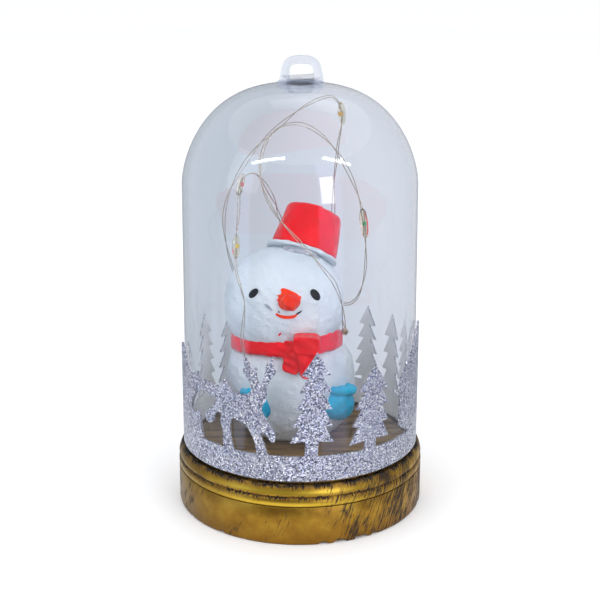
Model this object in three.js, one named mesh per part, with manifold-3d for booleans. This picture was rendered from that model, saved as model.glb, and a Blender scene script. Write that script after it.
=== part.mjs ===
// Light-up bell-jar ornament: a clear dome on a round gold base, over a snowman and micro lights.
// Millimetres, +Z up, front towards -Y. The origin is the centre of the base's foot ring.
import * as THREE from 'three';
import { mergeVertices } from 'three/addons/utils/BufferGeometryUtils.js';
import Module from 'manifold-3d';

const wasm = await Module();
wasm.setup();

// overall sizes
const BASE_R = 37.5;
const DOME_FOOT_R = 35.15;
const DOME_FOOT_Z = 16.0;
const DOME_SHOULDER_R = 34.6;
const DOME_SHOULDER_Z = 98.7;
const DOME_TOP_Z = 127.55;
const DOME_WALL = 1.3;
const LOOP_TOP_Z = 135.6;
const GAP = 0.3; // between pieces that touch on the real object
const ROUND = 40; // sides of the large turned pieces

// base mouldings
const PLATE_BOTTOM = 1.8;
const PLATE_TOP = 3.6;
const PLATE_R = 35.2;
const SKIRT_TOP = 11.6;
const FLOOR_TOP = 18.2;
const FLOOR_UNDER = 16.6;
const SCREW_RING_R = 29;
const SCREW_ANGLES = [-90, 30, 150];

// battery bay: a row of three cells along X, behind the middle of the base
const BAY = { y: 9, halfLength: 11.3, halfWidth: 6.3, wall: 1.6, top: 13.5 };
const CELL_R = 5.8;
const CELL_LENGTH = 5.4;
const CELL_Z = 9.8;
const DOOR = { left: -12, right: 17, halfWidth: 6.6, screwX: 14.6 };

// on-off switch, in front of the middle of the base
const SWITCH_Y = -20;
const SWITCH_TRAVEL = 2.5;
const KNOB = { length: 3, width: 2, bottom: 0.9 };

// glitter band round the foot of the dome
const BAND_IN = 35.3;
const BAND_OUT = 35.95;
const BAND_BOTTOM = 19.4;
const STRIP_TOP = 26.9;
const SEAM_ANGLE = 154; // where the band's ends meet, at the back

// micro-light string
const CORD_D = 1.0;
const CORD_STEPS = 80;
const EXIT = { x: -12, y: 25.5 };
const CORD_START_Z = 19.6;

// snowman, standing a little left of the middle and behind it, its head and hat leaning back
const BELLY = { at: [-2.85, 5, 0], depth: 0.92 };
const HEAD = { at: [-4.85, 5, 0], depth: 0.92 };
const SCARF = { at: [-4.1, 5, 47.9], half: [17.3, 16.3], height: 5.4, back: -13, roll: -2 };
const HAT = {
  at: [1, 12.2, 74.3], back: -27, roll: 18, brimR: 10.8, bottomR: 9.9, topR: 8.6, height: 13.8,
};
const NOSE = { at: [-3.3, -11.2, 66.3], r: 3.3, back: -17 };
const MITTENS = {
  right: { at: [12.7, -7.2, 32.2], turn: 8, spin: 30 },
  left: { at: [-13.2, -9.8, 32], turn: -14, spin: -30 },
};

const colours = {
  gold: [0xa8822f, 0.45, 0.75],
  black: [0x1d1b1a, 0.55, 0],
  steel: [0xb9bbbd, 0.35, 1],
  brass: [0xc9a24a, 0.35, 1],
  copper: [0xb9a08c, 0.4, 0.8],
  glue: [0xe8e2d2, 0.4, 0],
  epoxy: [0xf1e7bf, 0.15, 0],
  plaster: [0xe9edf0, 0.65, 0],
  red: [0xd0102c, 0.25, 0],
  orange: [0xf0401a, 0.25, 0],
  blue: [0x3fb2d8, 0.4, 0],
  clear: [0xe6eef2, 0.08, 0],
  glitter: [0xb4b6bd, 0.5, 0.6],
};

function named(name, geometry, colour) {
  const [color, roughness, metalness] = colours[colour];
  const mesh = new THREE.Mesh(geometry, new THREE.MeshStandardMaterial({ color, roughness, metalness }));
  mesh.name = name;
  return mesh;
}

// a closed geometry as a solid that can be joined and cut
function solid(geometry) {
  const bare = geometry.clone();
  bare.deleteAttribute('normal');
  bare.deleteAttribute('uv');
  const merged = mergeVertices(bare, 1e-4);
  const { array } = merged.index;
  const triVerts = [];
  for (let i = 0; i < array.length; i += 3) {
    const [a, b, c] = [array[i], array[i + 1], array[i + 2]];
    if (a !== b && b !== c && c !== a) triVerts.push(a, b, c);
  }
  const vertProperties = merged.attributes.position.array;
  const mesh = new wasm.Mesh({ numProp: 3, vertProperties, triVerts: new Uint32Array(triVerts) });
  return new wasm.Manifold(mesh);
}

function geometryOf(manifold) {
  const mesh = manifold.getMesh();
  const geometry = new THREE.BufferGeometry();
  geometry.setAttribute('position', new THREE.BufferAttribute(mesh.vertProperties, 3));
  geometry.setIndex(new THREE.BufferAttribute(mesh.triVerts, 1));
  geometry.computeVertexNormals();
  return geometry;
}

const rad = THREE.MathUtils.degToRad;
const asPoint = ([x, y]) => new THREE.Vector2(x, y);
const joined = (...pieces) => pieces.map(solid).reduce((sum, piece) => sum.add(piece));
const cutBy = (whole, ...tools) => tools.map(solid).reduce((rest, tool) => rest.subtract(tool), whole);

// turned about Z: [radius, height] pairs that start and end on the axis
function turned(profile, sides = ROUND) {
  return new THREE.LatheGeometry(profile.map(asPoint), sides).rotateX(Math.PI / 2);
}

// turned ring about Z: the profile closes on itself
const ring = (profile, sides = ROUND) => turned([...profile, profile[0]], sides);

function rod(r, bottom, top, sides = 16) {
  return turned([[0, bottom], [r, bottom], [r, top], [0, top]], sides);
}

function block(xs, ys, zs) {
  const geometry = new THREE.BoxGeometry(xs[1] - xs[0], ys[1] - ys[0], zs[1] - zs[0]);
  return geometry.translate((xs[0] + xs[1]) / 2, (ys[0] + ys[1]) / 2, (zs[0] + zs[1]) / 2);
}

function ellipsoid(at, half, across = 20, up = 14) {
  const geometry = new THREE.SphereGeometry(1, across, up).rotateX(Math.PI / 2);
  return geometry.scale(...half).translate(...at);
}

// a round wire along a curve
function wire(curve, diameter, steps, sides = 8) {
  const section = new THREE.Shape();
  for (let i = 0; i < sides; i += 1) {
    const angle = (i / sides) * 2 * Math.PI;
    const at = [Math.cos(angle) * diameter / 2, Math.sin(angle) * diameter / 2];
    if (i === 0) section.moveTo(...at);
    else section.lineTo(...at);
  }
  return new THREE.ExtrudeGeometry(section, { steps, extrudePath: curve, bevelEnabled: false });
}

const curveThrough = (points) => new THREE.CatmullRomCurve3(points.map((p) => new THREE.Vector3(...p)));

const onRing = (angle, r = SCREW_RING_R) => {
  const turn = rad(angle);
  return [r * Math.cos(turn), r * Math.sin(turn), 0];
};

// ---- base ----

// upper moulding: two beads and a groove outside, the brushed floor and the dome's groove on top
function baseCap() {
  const body = turned([
    [0, FLOOR_UNDER], [32.2, FLOOR_UNDER], [32.2, 14.2], [34, 14.2], [34, 9.6], [35.3, 9.6],
    [35.3, SKIRT_TOP + GAP], [37.2, SKIRT_TOP + GAP], [BASE_R, 12.5], [BASE_R, 13.6], [37.3, 14.3],
    [36.8, 14.7], [37.35, 15.1], [37.2, 16.1], [36.8, 17.2], [36.3, 18.1], [36, 18.3], [35.7, 18],
    [35.6, 15.7], [33.4, 15.7], [33.4, 17.9], [33.1, FLOOR_TOP], [0, FLOOR_TOP],
  ]);
  const bosses = SCREW_ANGLES.map((angle) => rod(3, PLATE_TOP + GAP, 17, 12).translate(...onRing(angle)));
  const pilots = SCREW_ANGLES.map((angle) => rod(1.3, 0, 13, 10).translate(...onRing(angle)));
  const wireHole = rod(1.6, 14, 20, 12).translate(EXIT.x, EXIT.y, 0);
  return geometryOf(cutBy(joined(body, ...bosses), ...pilots, wireHole));
}

// lower wall, with the foot ring it stands on and the inner ledge that the bottom plate pulls against
function baseSkirt() {
  return ring([
    [35.6, 0], [37.1, 0], [BASE_R, 0.5], [37.45, SKIRT_TOP], [35.8, SKIRT_TOP],
    [35.6, 5.4], [33, 5.4], [33, PLATE_TOP + GAP], [35.6, PLATE_TOP + GAP],
  ]);
}

function batteryBay() {
  const { y, halfLength: l, halfWidth: w, wall, top } = BAY;
  const outside = block([-l - wall, l + wall], [y - w - wall, y + w + wall], [PLATE_TOP - 0.5, top]);
  const inside = block([-l, l], [y - w, y + w], [0, top + 1]);
  const boss = block([l + wall - 0.2, DOOR.right - 0.2], [y - 3, y + 3], [PLATE_TOP + GAP, 9.5]);
  const pilot = rod(1.1, 0, 8.6, 10).translate(DOOR.screwX, y, 0);
  return cutBy(joined(outside, boss), inside, pilot);
}

// bottom plate with the battery bay's walls, the door's opening and the switch's slot
function bottomPlate() {
  const disc = solid(rod(PLATE_R, PLATE_BOTTOM, PLATE_TOP, ROUND));
  const heads = SCREW_ANGLES.map((angle) => rod(2.6, 0, 2.9, 12).translate(...onRing(angle)));
  const shanks = SCREW_ANGLES.map((angle) => rod(1.3, 0, 5, 10).translate(...onRing(angle)));
  const slotLength = (SWITCH_TRAVEL + KNOB.length) / 2 + GAP;
  const slotWidth = KNOB.width / 2 + GAP;
  const slot = block([-slotLength, slotLength], [SWITCH_Y - slotWidth, SWITCH_Y + slotWidth], [0, 5]);
  const doorWidth = DOOR.halfWidth + GAP;
  const doorLength = [DOOR.left - GAP, DOOR.right + GAP];
  const doorway = block(doorLength, [BAY.y - doorWidth, BAY.y + doorWidth], [0, PLATE_TOP + GAP / 2]);
  const plate = disc.add(batteryBay());
  return geometryOf(cutBy(plate, ...heads, ...shanks, slot, doorway));
}

// screw with a cross recess, its head's outer face at the given height
function screw(headR, shankR, headZ, length) {
  const body = turned([
    [0, headZ], [headR * 0.8, headZ], [headR, headZ + 0.25], [headR, headZ + 0.7],
    [shankR, headZ + 0.8], [shankR, headZ + length - 1], [0, headZ + length],
  ], 12);
  const arm = headR * 0.6;
  const slotA = block([-arm, arm], [-0.25, 0.25], [headZ - 1, headZ + 0.4]);
  const slotB = block([-0.25, 0.25], [-arm, arm], [headZ - 1, headZ + 0.4]);
  return geometryOf(cutBy(solid(body), slotA, slotB));
}

function batteryDoor() {
  const across = [BAY.y - DOOR.halfWidth, BAY.y + DOOR.halfWidth];
  const panel = solid(block([DOOR.left, DOOR.right], across, [PLATE_BOTTOM, PLATE_TOP]));
  const counterbore = rod(2.3, 0, 2.8, 12).translate(DOOR.screwX, BAY.y, 0);
  const hole = rod(1.1, 0, 5, 10).translate(DOOR.screwX, BAY.y, 0);
  const gripLength = [BAY.y - 4, BAY.y + 4];
  const grips = [-9, -6, -3].map((x) => block([x - 0.5, x + 0.5], gripLength, [0, PLATE_BOTTOM + 0.4]));
  return geometryOf(cutBy(panel, counterbore, hole, ...grips));
}

// button cell lying on its side: the smaller negative cap faces +X
function buttonCell() {
  const cell = turned([
    [0, 0], [CELL_R - 0.3, 0], [CELL_R, 0.3], [CELL_R, 4.3], [CELL_R - 0.7, 4.6],
    [CELL_R - 0.8, CELL_LENGTH], [0, CELL_LENGTH],
  ], 20);
  return cell.rotateY(Math.PI / 2);
}

function contactSpring() {
  const turns = 2.5;
  const count = 25;
  const points = [];
  for (let i = 0; i <= count; i += 1) {
    const angle = (i / count) * turns * 2 * Math.PI;
    const r = 2 + 1.8 * (i / count);
    points.push([7.1 + 3.4 * (i / count), BAY.y + r * Math.cos(angle), CELL_Z + r * Math.sin(angle)]);
  }
  return wire(curveThrough(points), 0.5, 30, 6);
}

function switchBody() {
  const body = block([-4.5, 4.5], [SWITCH_Y - 2.3, SWITCH_Y + 2.3], [PLATE_TOP + 2 * GAP, 8.4]);
  const tabWidth = [SWITCH_Y - 0.2, SWITCH_Y + 0.2];
  const tabs = [-3, 0, 3].map((x) => block([x - 0.4, x + 0.4], tabWidth, [8, 10.2]));
  return geometryOf(joined(body, ...tabs));
}

function switchSlider() {
  const left = -(SWITCH_TRAVEL + KNOB.length) / 2;
  const across = [SWITCH_Y - KNOB.width / 2, SWITCH_Y + KNOB.width / 2];
  const knob = solid(block([left, left + KNOB.length], across, [KNOB.bottom, PLATE_TOP + GAP]));
  const groove = (x) => block([x - 0.15, x + 0.15], [-30, 0], [0, KNOB.bottom + 0.3]);
  const grooves = [0.8, 1.5, 2.2].map((along) => groove(left + along));
  return geometryOf(cutBy(knob, ...grooves));
}

// leads inside the base, from contact to switch and from contact and switch up to the wire hole
const LEADS = {
  switch_lead: [[-10.8, 6, 14.4], [-13, 2, 14.6], [-11, -8, 13], [-5, -15, 12], [-3, SWITCH_Y, 10.8]],
  string_lead_positive: [
    [0, SWITCH_Y, 10.8], [-4, -23, 12.5], [-14, -17, 12], [-19, -2, 11], [-18, 16, 11.5],
    [-12.9, 24.6, 12.5], [-12.5, EXIT.y, 15.4],
  ],
  string_lead_negative: [
    [10.7, 12, 14.4], [14, 17, 14.6], [8, 22, 13], [-4, 25, 12], [-10.8, 26, 13], [-11.5, EXIT.y, 15.4],
  ],
};

// hot-melt plug where the string comes through the floor
function gluePlug() {
  return turned([
    [0, 15.9], [1.3, 15.9], [1.3, FLOOR_TOP + GAP], [2.6, FLOOR_TOP + GAP], [2.4, 19], [1.3, 19.3],
    [0, 19.3],
  ], 12);
}

// ---- micro-light string ----

// the string's route: up behind the snowman and round its left side, over the top and down behind the
// head, up the right side and down across the front, round the back again, and down the front on the left
const ROUTE = [
  [EXIT.x, EXIT.y, CORD_START_Z], [-15, 26.5, 38], [-20, 16.5, 64], [-23, 5.5, 84], [-21, 5.5, 95],
  [-13, 8, 107.5], [-5, 6, 115.5], [3.5, 3, 122], [9.5, 2.5, 123.5], [12.2, 4.5, 118.5],
  [11.5, 8, 109.5], [10.5, 16, 96.5], [10.5, 25, 82], [9.5, 26, 66], [12.6, 15.5, 57.3],
  [17.3, 8, 60.5], [19.8, 5.5, 70], [19.3, 2.5, 84], [17.5, 2, 93.5], [13.5, 0, 103], [7.5, -3, 112],
  [0, -4, 116.5], [-7, -5, 115], [-11, -7, 107.5], [-10.5, -10, 98.5], [-5, -12.5, 89.5],
  [9.5, -13.5, 72.5], [12.7, -9.5, 61.5], [13, -6.5, 55.3], [13.7, 7, 52.6], [6.5, 23.5, 60],
  [-4, 27.5, 75], [-8, 13.5, 90], [-13.5, 6.5, 100], [-17, 3.5, 99], [-18, -3, 90], [-18.4, -12, 75],
  [-15.9, -14.8, 66.5], [-16.8, -15.8, 55], [-13.8, -16.5, 42.5],
];
const CORD = curveThrough(ROUTE);
const BEAD_STEPS = [3, 20, 37, 56, 70, 73]; // the step of the wire that each bead sits on
const CORD_POINTS = CORD.getSpacedPoints(CORD_STEPS);

// epoxy bead, a barrel round the wire
function bead(halfLength, r) {
  const hole = CORD_D / 2 + GAP;
  const end = r * 0.75;
  return ring([[hole, -halfLength], [end, -halfLength], [r, 0], [end, halfLength], [hole, halfLength]], 10);
}

function placedBead(index) {
  const from = CORD_POINTS[BEAD_STEPS[index]];
  const to = CORD_POINTS[BEAD_STEPS[index] + 1];
  const mesh = named(`light_bead_${index + 1}`, bead(2.6, index === 2 ? 1.6 : 1.4), 'epoxy');
  mesh.position.addVectors(from, to).multiplyScalar(0.5);
  mesh.quaternion.setFromUnitVectors(new THREE.Vector3(0, 0, 1), to.clone().sub(from).normalize());
  return mesh;
}

// the last bead closes the end of the string
function endBead() {
  const tip = CORD_POINTS[CORD_STEPS];
  const along = tip.clone().sub(CORD_POINTS[CORD_STEPS - 1]).normalize();
  const mesh = named('light_bead_7', ellipsoid([0, 0, 2.5 + GAP], [1.4, 1.4, 2.5], 10, 6), 'epoxy');
  mesh.position.copy(tip);
  mesh.quaternion.setFromUnitVectors(new THREE.Vector3(0, 0, 1), along);
  return mesh;
}

// ---- snowman ----

// scarf: a band round the neck, a knot and two tails; grow makes the space it needs in the body
function scarfSolid(grow = 0) {
  const [rx, ry] = SCARF.half;
  const h = SCARF.height / 2 + grow;
  const band = ring([
    [11.5, -h], [rx - 0.9 + grow, -h], [rx + grow, -h / 2], [rx + grow, h / 2], [rx - 0.9 + grow, h],
    [11.5, h],
  ], 28);
  band.scale(1, ry / rx, 1).rotateX(rad(SCARF.back)).rotateY(rad(SCARF.roll)).translate(...SCARF.at);
  const knot = ellipsoid([1.9, -12.4, 51.9], [4.1 + grow, 2.4 + grow, 3.8 + grow], 12, 8);
  const depth = 1.8 + 2 * grow;
  const lay = (outline) => {
    const flat = new THREE.ExtrudeGeometry(new THREE.Shape(outline), { depth, bevelEnabled: false });
    return flat.rotateX(Math.PI / 2).translate(0, -12.4 + grow, 0);
  };
  const left = lay([[-5.6, 48], [-5, 43.8], [-0.6, 43.2], [0.4, 50], [-3.6, 50.4]].map(asPoint));
  const right = lay([[-0.9, 51], [0.3, 42.8], [5.7, 50.4], [3, 52]].map(asPoint));
  return joined(band, knot, left, right);
}

// hat: a tapered bucket with a thin brim, sitting square on the back of the head
function hatSolid(grow = 0) {
  const { brimR, bottomR, topR, height } = HAT;
  const hat = turned([
    [0, -grow], [brimR + grow, -grow], [brimR + grow, 0.7], [bottomR + grow, 1.1 + grow],
    [topR + 0.4 + grow, height - 1.8], [topR - 1, height - 0.4], [0, height + grow],
  ], 22);
  return solid(hat.rotateX(rad(HAT.back)).rotateY(rad(HAT.roll)).translate(...HAT.at));
}

function noseSolid(grow = 0) {
  const r = NOSE.r + grow;
  const cone = turned([
    [0, -1 - grow], [r, -1 - grow], [r, 0.8], [r * 0.75, 2.6], [r * 0.35, 3.7], [0, 4 + grow],
  ], 14);
  return solid(cone.rotateX(Math.PI / 2 + rad(NOSE.back)).translate(...NOSE.at));
}

function mittenSolid({ at, turn, spin }, grow = 0) {
  const hand = ellipsoid([0, 0, 0], [4.5 + grow, 2.8 + grow, 5 + grow], 12, 8);
  const cuff = ellipsoid([0, 0, 4.6], [4.4 + grow, 3.1 + grow, 1.8 + grow], 12, 6);
  const both = geometryOf(joined(hand, cuff)).rotateY(rad(turn)).rotateZ(rad(spin));
  return solid(both.translate(...at));
}

function snowmanBody() {
  const belly = turned([
    [0, FLOOR_TOP + GAP], [12.2, FLOOR_TOP + GAP], [16.9, 22.8], [19.6, 28], [20.2, 34], [19.8, 40],
    [18.6, 44.4], [16.2, 47.6], [12, 50], [0, 51],
  ], 28);
  const head = turned([
    [0, 46], [12.5, 47], [16.4, 50.6], [18.2, 56], [18.45, 61.5], [17.3, 67.4], [14, 72.8], [8.6, 76.5],
    [0, 77.8],
  ], 28);
  belly.scale(1, BELLY.depth, 1).translate(...BELLY.at);
  head.scale(1, HEAD.depth, 1).translate(...HEAD.at);
  const mittens = Object.values(MITTENS).map((mitten) => mittenSolid(mitten, GAP));
  const painted = [scarfSolid(GAP), hatSolid(GAP), noseSolid(GAP), ...mittens];
  return geometryOf(painted.reduce((rest, piece) => rest.subtract(piece), joined(belly, head)));
}

// ---- dome ----

// half section from the foot to the top, drawn in by the inset
function domeProfile(inset, steps, endR) {
  const points = [[DOME_FOOT_R - inset, DOME_FOOT_Z]];
  points.push([DOME_SHOULDER_R + 0.35 - inset, 55], [DOME_SHOULDER_R - inset, DOME_SHOULDER_Z]);
  for (let i = 1; i <= steps; i += 1) {
    const turn = (i / steps) * (Math.PI / 2);
    const r = (DOME_SHOULDER_R - inset) * Math.cos(turn) ** (2 / 2.73);
    const z = DOME_SHOULDER_Z + (DOME_TOP_Z - inset - DOME_SHOULDER_Z) * Math.sin(turn) ** (2 / 1.68);
    if (r > endR) points.push([r, z]);
  }
  points.push([endR, DOME_TOP_Z - inset - 0.05]);
  return points;
}

function domeCover() {
  const hole = 4.1;
  return ring([...domeProfile(0, 9, hole), ...domeProfile(DOME_WALL, 9, hole).reverse()]);
}

// hanging loop with a flange on the dome and a plug through its hole
function hangingLoop() {
  const arch = new THREE.Shape();
  arch.moveTo(-6.5, 128.1);
  arch.lineTo(-5.9, 131);
  arch.bezierCurveTo(-5.6, 134.2, -3.6, LOOP_TOP_Z, 0, LOOP_TOP_Z);
  arch.bezierCurveTo(3.6, LOOP_TOP_Z, 5.6, 134.2, 5.9, 131);
  arch.lineTo(6.5, 128.1);
  const eye = new THREE.Path();
  eye.moveTo(-3.4, 128.4);
  eye.lineTo(3.4, 128.4);
  eye.lineTo(3.4, 131.4);
  eye.quadraticCurveTo(3.4, 133.2, 1.6, 133.2);
  eye.lineTo(-1.6, 133.2);
  eye.quadraticCurveTo(-3.4, 133.2, -3.4, 131.4);
  arch.holes.push(eye);
  const depth = 3.4;
  const loop = new THREE.ExtrudeGeometry(arch, { depth, bevelEnabled: false, curveSegments: 5 });
  loop.rotateX(Math.PI / 2).translate(0.4, depth / 2, 0);
  const plug = turned([
    [0, 124.9], [3.4, 124.9], [3.8, 125.3], [3.8, 127.85], [6.9, 127.85], [6.7, 128.4], [0, 128.4],
  ], 24);
  return geometryOf(joined(plug, loop));
}

// ---- glitter band ----

// a wedge through the band's wall, whose outline is given in millimetres of arc and height
function wedge(outline, centreAngle) {
  const near = 25;
  const far = 50;
  const shape = new THREE.Shape(outline.map(asPoint));
  const geometry = new THREE.ExtrudeGeometry(shape, { depth: 1, bevelEnabled: false });
  const { position } = geometry.attributes;
  for (let i = 0; i < position.count; i += 1) {
    const angle = position.getX(i) / BAND_OUT + rad(centreAngle);
    const r = near + (far - near) * position.getZ(i);
    position.setXYZ(i, r * Math.sin(angle), -r * Math.cos(angle), position.getY(i));
  }
  return geometry;
}

// fir tree: a trunk and tiers that narrow upwards, leaning by shear
function firOutline({ top, tiers, foot = 31, half = 6.4, lean = 0 }) {
  const sway = ([s, z]) => [s + (z - STRIP_TOP) * lean, z];
  const step = (top - foot) / (tiers + 0.35);
  const right = [[1.9, STRIP_TOP - 1], [1.9, foot + 0.6]];
  for (let i = 0; i < tiers; i += 1) {
    const tip = half - i * (half * 0.09);
    const z = foot + i * step;
    right.push([tip, z], [Math.max(tip - 2.9, 0.9), z + step]);
  }
  right[right.length - 1] = [0, top];
  const left = right.slice(0, -1).reverse().map(([s, z]) => [-s, z]);
  return [...right, ...left].map(sway);
}

const FIRS = [
  { angle: 5, top: 58, tiers: 5, lean: 0.06 },
  { angle: 34, top: 52, tiers: 4, foot: 29.2, half: 7, lean: 0.07 },
  { angle: 106, top: 53.5, tiers: 5, foot: 27.8, half: 5.2 },
  { angle: 121, top: 52.5, tiers: 4, foot: 27.8, half: 5.2 },
  { angle: 140.5, top: 52.5, tiers: 5, foot: 27.8, half: 5.2 },
  { angle: 164, top: 52, tiers: 4, foot: 27.8, half: 5.6 },
  { angle: -139, top: 50, tiers: 4, foot: 27.8, half: 5.8 },
  { angle: -118, top: 53, tiers: 5, foot: 27.8, half: 5.8 },
];

// grazing reindeer, its head low to the right, with a harness strap that runs left behind its rump
const REINDEER = [
  [6, STRIP_TOP - 1], [6, 29.5], [4.5, 33], [3, 35.5], [0, 36.6], [-1.8, 36.4], [-2.5, 34.5],
  [-2.3, 30.5], [-1, STRIP_TOP - 1], [-5, STRIP_TOP - 1], [-5, 32], [-6, 34.4], [-5.6, 37.4], [-7.2, 37],
  [-8.6, 36], [-8.8, 34],
  [-10, 32.8], [-11.8, 33], [-12.6, 34.5], [-12.2, 36], [-10.2, 37.4], [-8.2, 39.5], [-7.6, 42], [-9, 41.4],
  [-12.5, 42.5], [-17, 41], [-17, 45.6], [-15.2, 45.2], [-11, 45.4], [-7, 45], [-5.2, 46], [-4.2, 48.6],
  [-3, 46.4], [-1.3, 44.6], [2, 44], [4.4, 45.3], [5, 47.4], [3.4, 49.5], [2, 51.6], [2.8, 53], [2.2, 56.2],
  [3.5, 55], [5, 51.8], [6.5, 53.6], [6.3, 50.4], [7, 47.8], [8.4, 49.2], [9, 52], [9.4, 55.2], [10, 53.4],
  [11, 57.6], [11.4, 53.6], [12.2, 52], [10.8, 50.2], [9.2, 47.4], [9.4, 43.6], [7.8, 41.8], [7.8, 39.6],
  [9.4, 37.4], [10.8, 35.6], [12, 32.6], [11.5, 31], [10.4, 31.2], [9.6, 32.6], [7, 34.4], [8.4, 30],
  [10, STRIP_TOP - 1],
];

// sleigh with a heaped sack, its curled front and runner tip towards the reindeer
const SLEIGH = [
  [14.5, STRIP_TOP - 1], [13.1, 30.5], [13, 33.5], [12.4, 35.6], [9.6, 33], [7, 34.4], [9, 38], [11.6, 41],
  [11.4, 45.6], [12.4, 47.6], [9.6, 45.8], [7.4, 45], [4.6, 45.2], [2.4, 48.6], [-2, 52], [-5.5, 49.6],
  [-7.5, 46], [-10.5, 47.4], [-11.6, 45], [-8.8, 38], [-10, 34.4], [-13, 32.6], [-14, STRIP_TOP - 1],
];

const COTTAGE = [
  [14, STRIP_TOP - 1], [14, 43.5], [15, 44.6], [7, 52.2], [7, 56], [4.4, 56], [4.4, 54.8], [0.6, 58.4],
  [-13.4, 47.4], [-16.6, 43.6], [-16, 42.6], [-16, STRIP_TOP - 1],
];

function glitterBand() {
  const top = 62;
  const section = (z) => [[BAND_IN, BAND_BOTTOM], [BAND_OUT, BAND_BOTTOM], [BAND_OUT, z], [BAND_IN, z]];
  const strip = solid(ring(section(STRIP_TOP), ROUND));
  const wall = solid(ring(section(top), ROUND));
  const firs = FIRS.map((fir) => wedge(firOutline(fir), fir.angle));
  const deer = [-30, -168].map((angle) => wedge(REINDEER, angle));
  const shapes = joined(...firs, ...deer, wedge(SLEIGH, -75), wedge(COTTAGE, 80));
  const seam = block([-0.25, 0.25], [-40, -30], [0, 40]).rotateZ(rad(SEAM_ANGLE));
  return geometryOf(cutBy(strip.add(wall.intersect(shapes)), seam));
}

// ---- assembly ----

function baseGroup() {
  const group = new THREE.Group();
  group.add(named('base_cap', baseCap(), 'gold'));
  group.add(named('base_skirt', baseSkirt(), 'gold'));
  group.add(named('bottom_plate', bottomPlate(), 'black'));
  group.add(named('battery_door', batteryDoor(), 'black'));
  const doorScrew = named('battery_door_screw', screw(1.9, 0.8, PLATE_BOTTOM + 0.1, 6), 'steel');
  doorScrew.position.set(DOOR.screwX, BAY.y, 0);
  group.add(doorScrew);
  SCREW_ANGLES.forEach((angle, i) => {
    const mesh = named(`plate_screw_${i + 1}`, screw(2.2, 1, PLATE_BOTTOM + 0.2, 9), 'steel');
    mesh.position.set(...onRing(angle));
    group.add(mesh);
  });
  return group;
}

function electricGroup() {
  const group = new THREE.Group();
  for (let i = 0; i < 3; i += 1) {
    const cell = named(`button_cell_${i + 1}`, buttonCell(), 'steel');
    cell.position.set(-10.3 + i * (CELL_LENGTH + GAP), BAY.y, CELL_Z);
    group.add(cell);
  }
  const contact = block([-11, -10.6], [BAY.y - 4, BAY.y + 4], [PLATE_TOP + GAP, 13.9]);
  group.add(named('positive_contact', contact, 'brass'));
  group.add(named('negative_spring', contactSpring(), 'steel'));
  group.add(named('switch_body', switchBody(), 'black'));
  group.add(named('switch_slider', switchSlider(), 'black'));
  Object.entries(LEADS).forEach(([name, points]) => {
    group.add(named(name, wire(curveThrough(points), 0.8, 14), 'copper'));
  });
  const plug = named('wire_glue_plug', gluePlug(), 'glue');
  plug.position.set(EXIT.x, EXIT.y, 0);
  group.add(plug);
  return group;
}

function lightGroup() {
  const group = new THREE.Group();
  group.add(named('light_string', wire(CORD, CORD_D, CORD_STEPS), 'copper'));
  BEAD_STEPS.forEach((step, i) => group.add(placedBead(i)));
  group.add(endBead());
  return group;
}

function snowmanGroup() {
  const group = new THREE.Group();
  group.add(named('snowman_body', snowmanBody(), 'plaster'));
  group.add(named('snowman_hat', geometryOf(hatSolid()), 'red'));
  group.add(named('snowman_scarf', geometryOf(scarfSolid()), 'red'));
  group.add(named('snowman_nose', geometryOf(noseSolid()), 'orange'));
  Object.entries(MITTENS).forEach(([side, mitten]) => {
    group.add(named(`mitten_${side}`, geometryOf(mittenSolid(mitten)), 'blue'));
  });
  return group;
}

function domeGroup() {
  const group = new THREE.Group();
  group.add(named('dome_cover', domeCover(), 'clear'));
  group.add(named('hanging_loop', hangingLoop(), 'clear'));
  group.add(named('glitter_band', glitterBand(), 'glitter'));
  return group;
}

const ornament = new THREE.Group();
ornament.add(baseGroup(), electricGroup(), lightGroup(), snowmanGroup(), domeGroup());

export default ornament;
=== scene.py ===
import math
import random

import bpy
import numpy as np
from mathutils import Matrix, Vector
from mathutils.bvhtree import BVHTree


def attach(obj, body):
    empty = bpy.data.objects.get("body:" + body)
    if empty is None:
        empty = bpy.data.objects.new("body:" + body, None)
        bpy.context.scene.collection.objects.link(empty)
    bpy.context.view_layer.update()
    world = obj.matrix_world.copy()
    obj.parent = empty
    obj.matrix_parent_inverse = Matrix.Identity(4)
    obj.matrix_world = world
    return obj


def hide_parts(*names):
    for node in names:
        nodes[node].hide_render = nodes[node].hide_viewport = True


# a light-up bell-jar ornament: clear dome, gold base, painted snowman and a string of micro lights
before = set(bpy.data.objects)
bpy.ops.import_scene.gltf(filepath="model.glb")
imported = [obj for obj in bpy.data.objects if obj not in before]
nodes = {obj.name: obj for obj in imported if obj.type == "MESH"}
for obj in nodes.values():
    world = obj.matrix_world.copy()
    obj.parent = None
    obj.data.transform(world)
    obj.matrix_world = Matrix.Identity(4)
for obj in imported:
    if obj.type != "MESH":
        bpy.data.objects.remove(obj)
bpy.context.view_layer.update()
mm = 0.001
fullTurn = 2 * math.pi
baseR = 37.5  # widest radius of the base, mm
capTop = 18.5  # top of the wear bands on the base, mm


# ---- camera ----

cameraValues = {"place": (0.0, -0.38, 0.17735), "tilt": 73.19, "lens": 79.04}


def addCamera(values):
    data = bpy.data.cameras.new("camera")
    data.lens = values["lens"]
    data.sensor_width = 36
    camera = bpy.data.objects.new("camera", data)
    camera.location = values["place"]
    camera.rotation_euler = (math.radians(values["tilt"]), 0, 0)
    bpy.context.scene.collection.objects.link(camera)
    bpy.context.scene.camera = camera


addCamera(cameraValues)


# ---- helpers for shapes ----

def pick(obj):
    bpy.ops.object.select_all(action="DESELECT")
    obj.select_set(True)
    bpy.context.view_layer.objects.active = obj


def openEdit(obj):
    pick(obj)
    bpy.ops.object.mode_set(mode="EDIT")
    bpy.ops.mesh.select_all(action="SELECT")


def closeEdit():
    bpy.ops.object.mode_set(mode="OBJECT")


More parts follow.
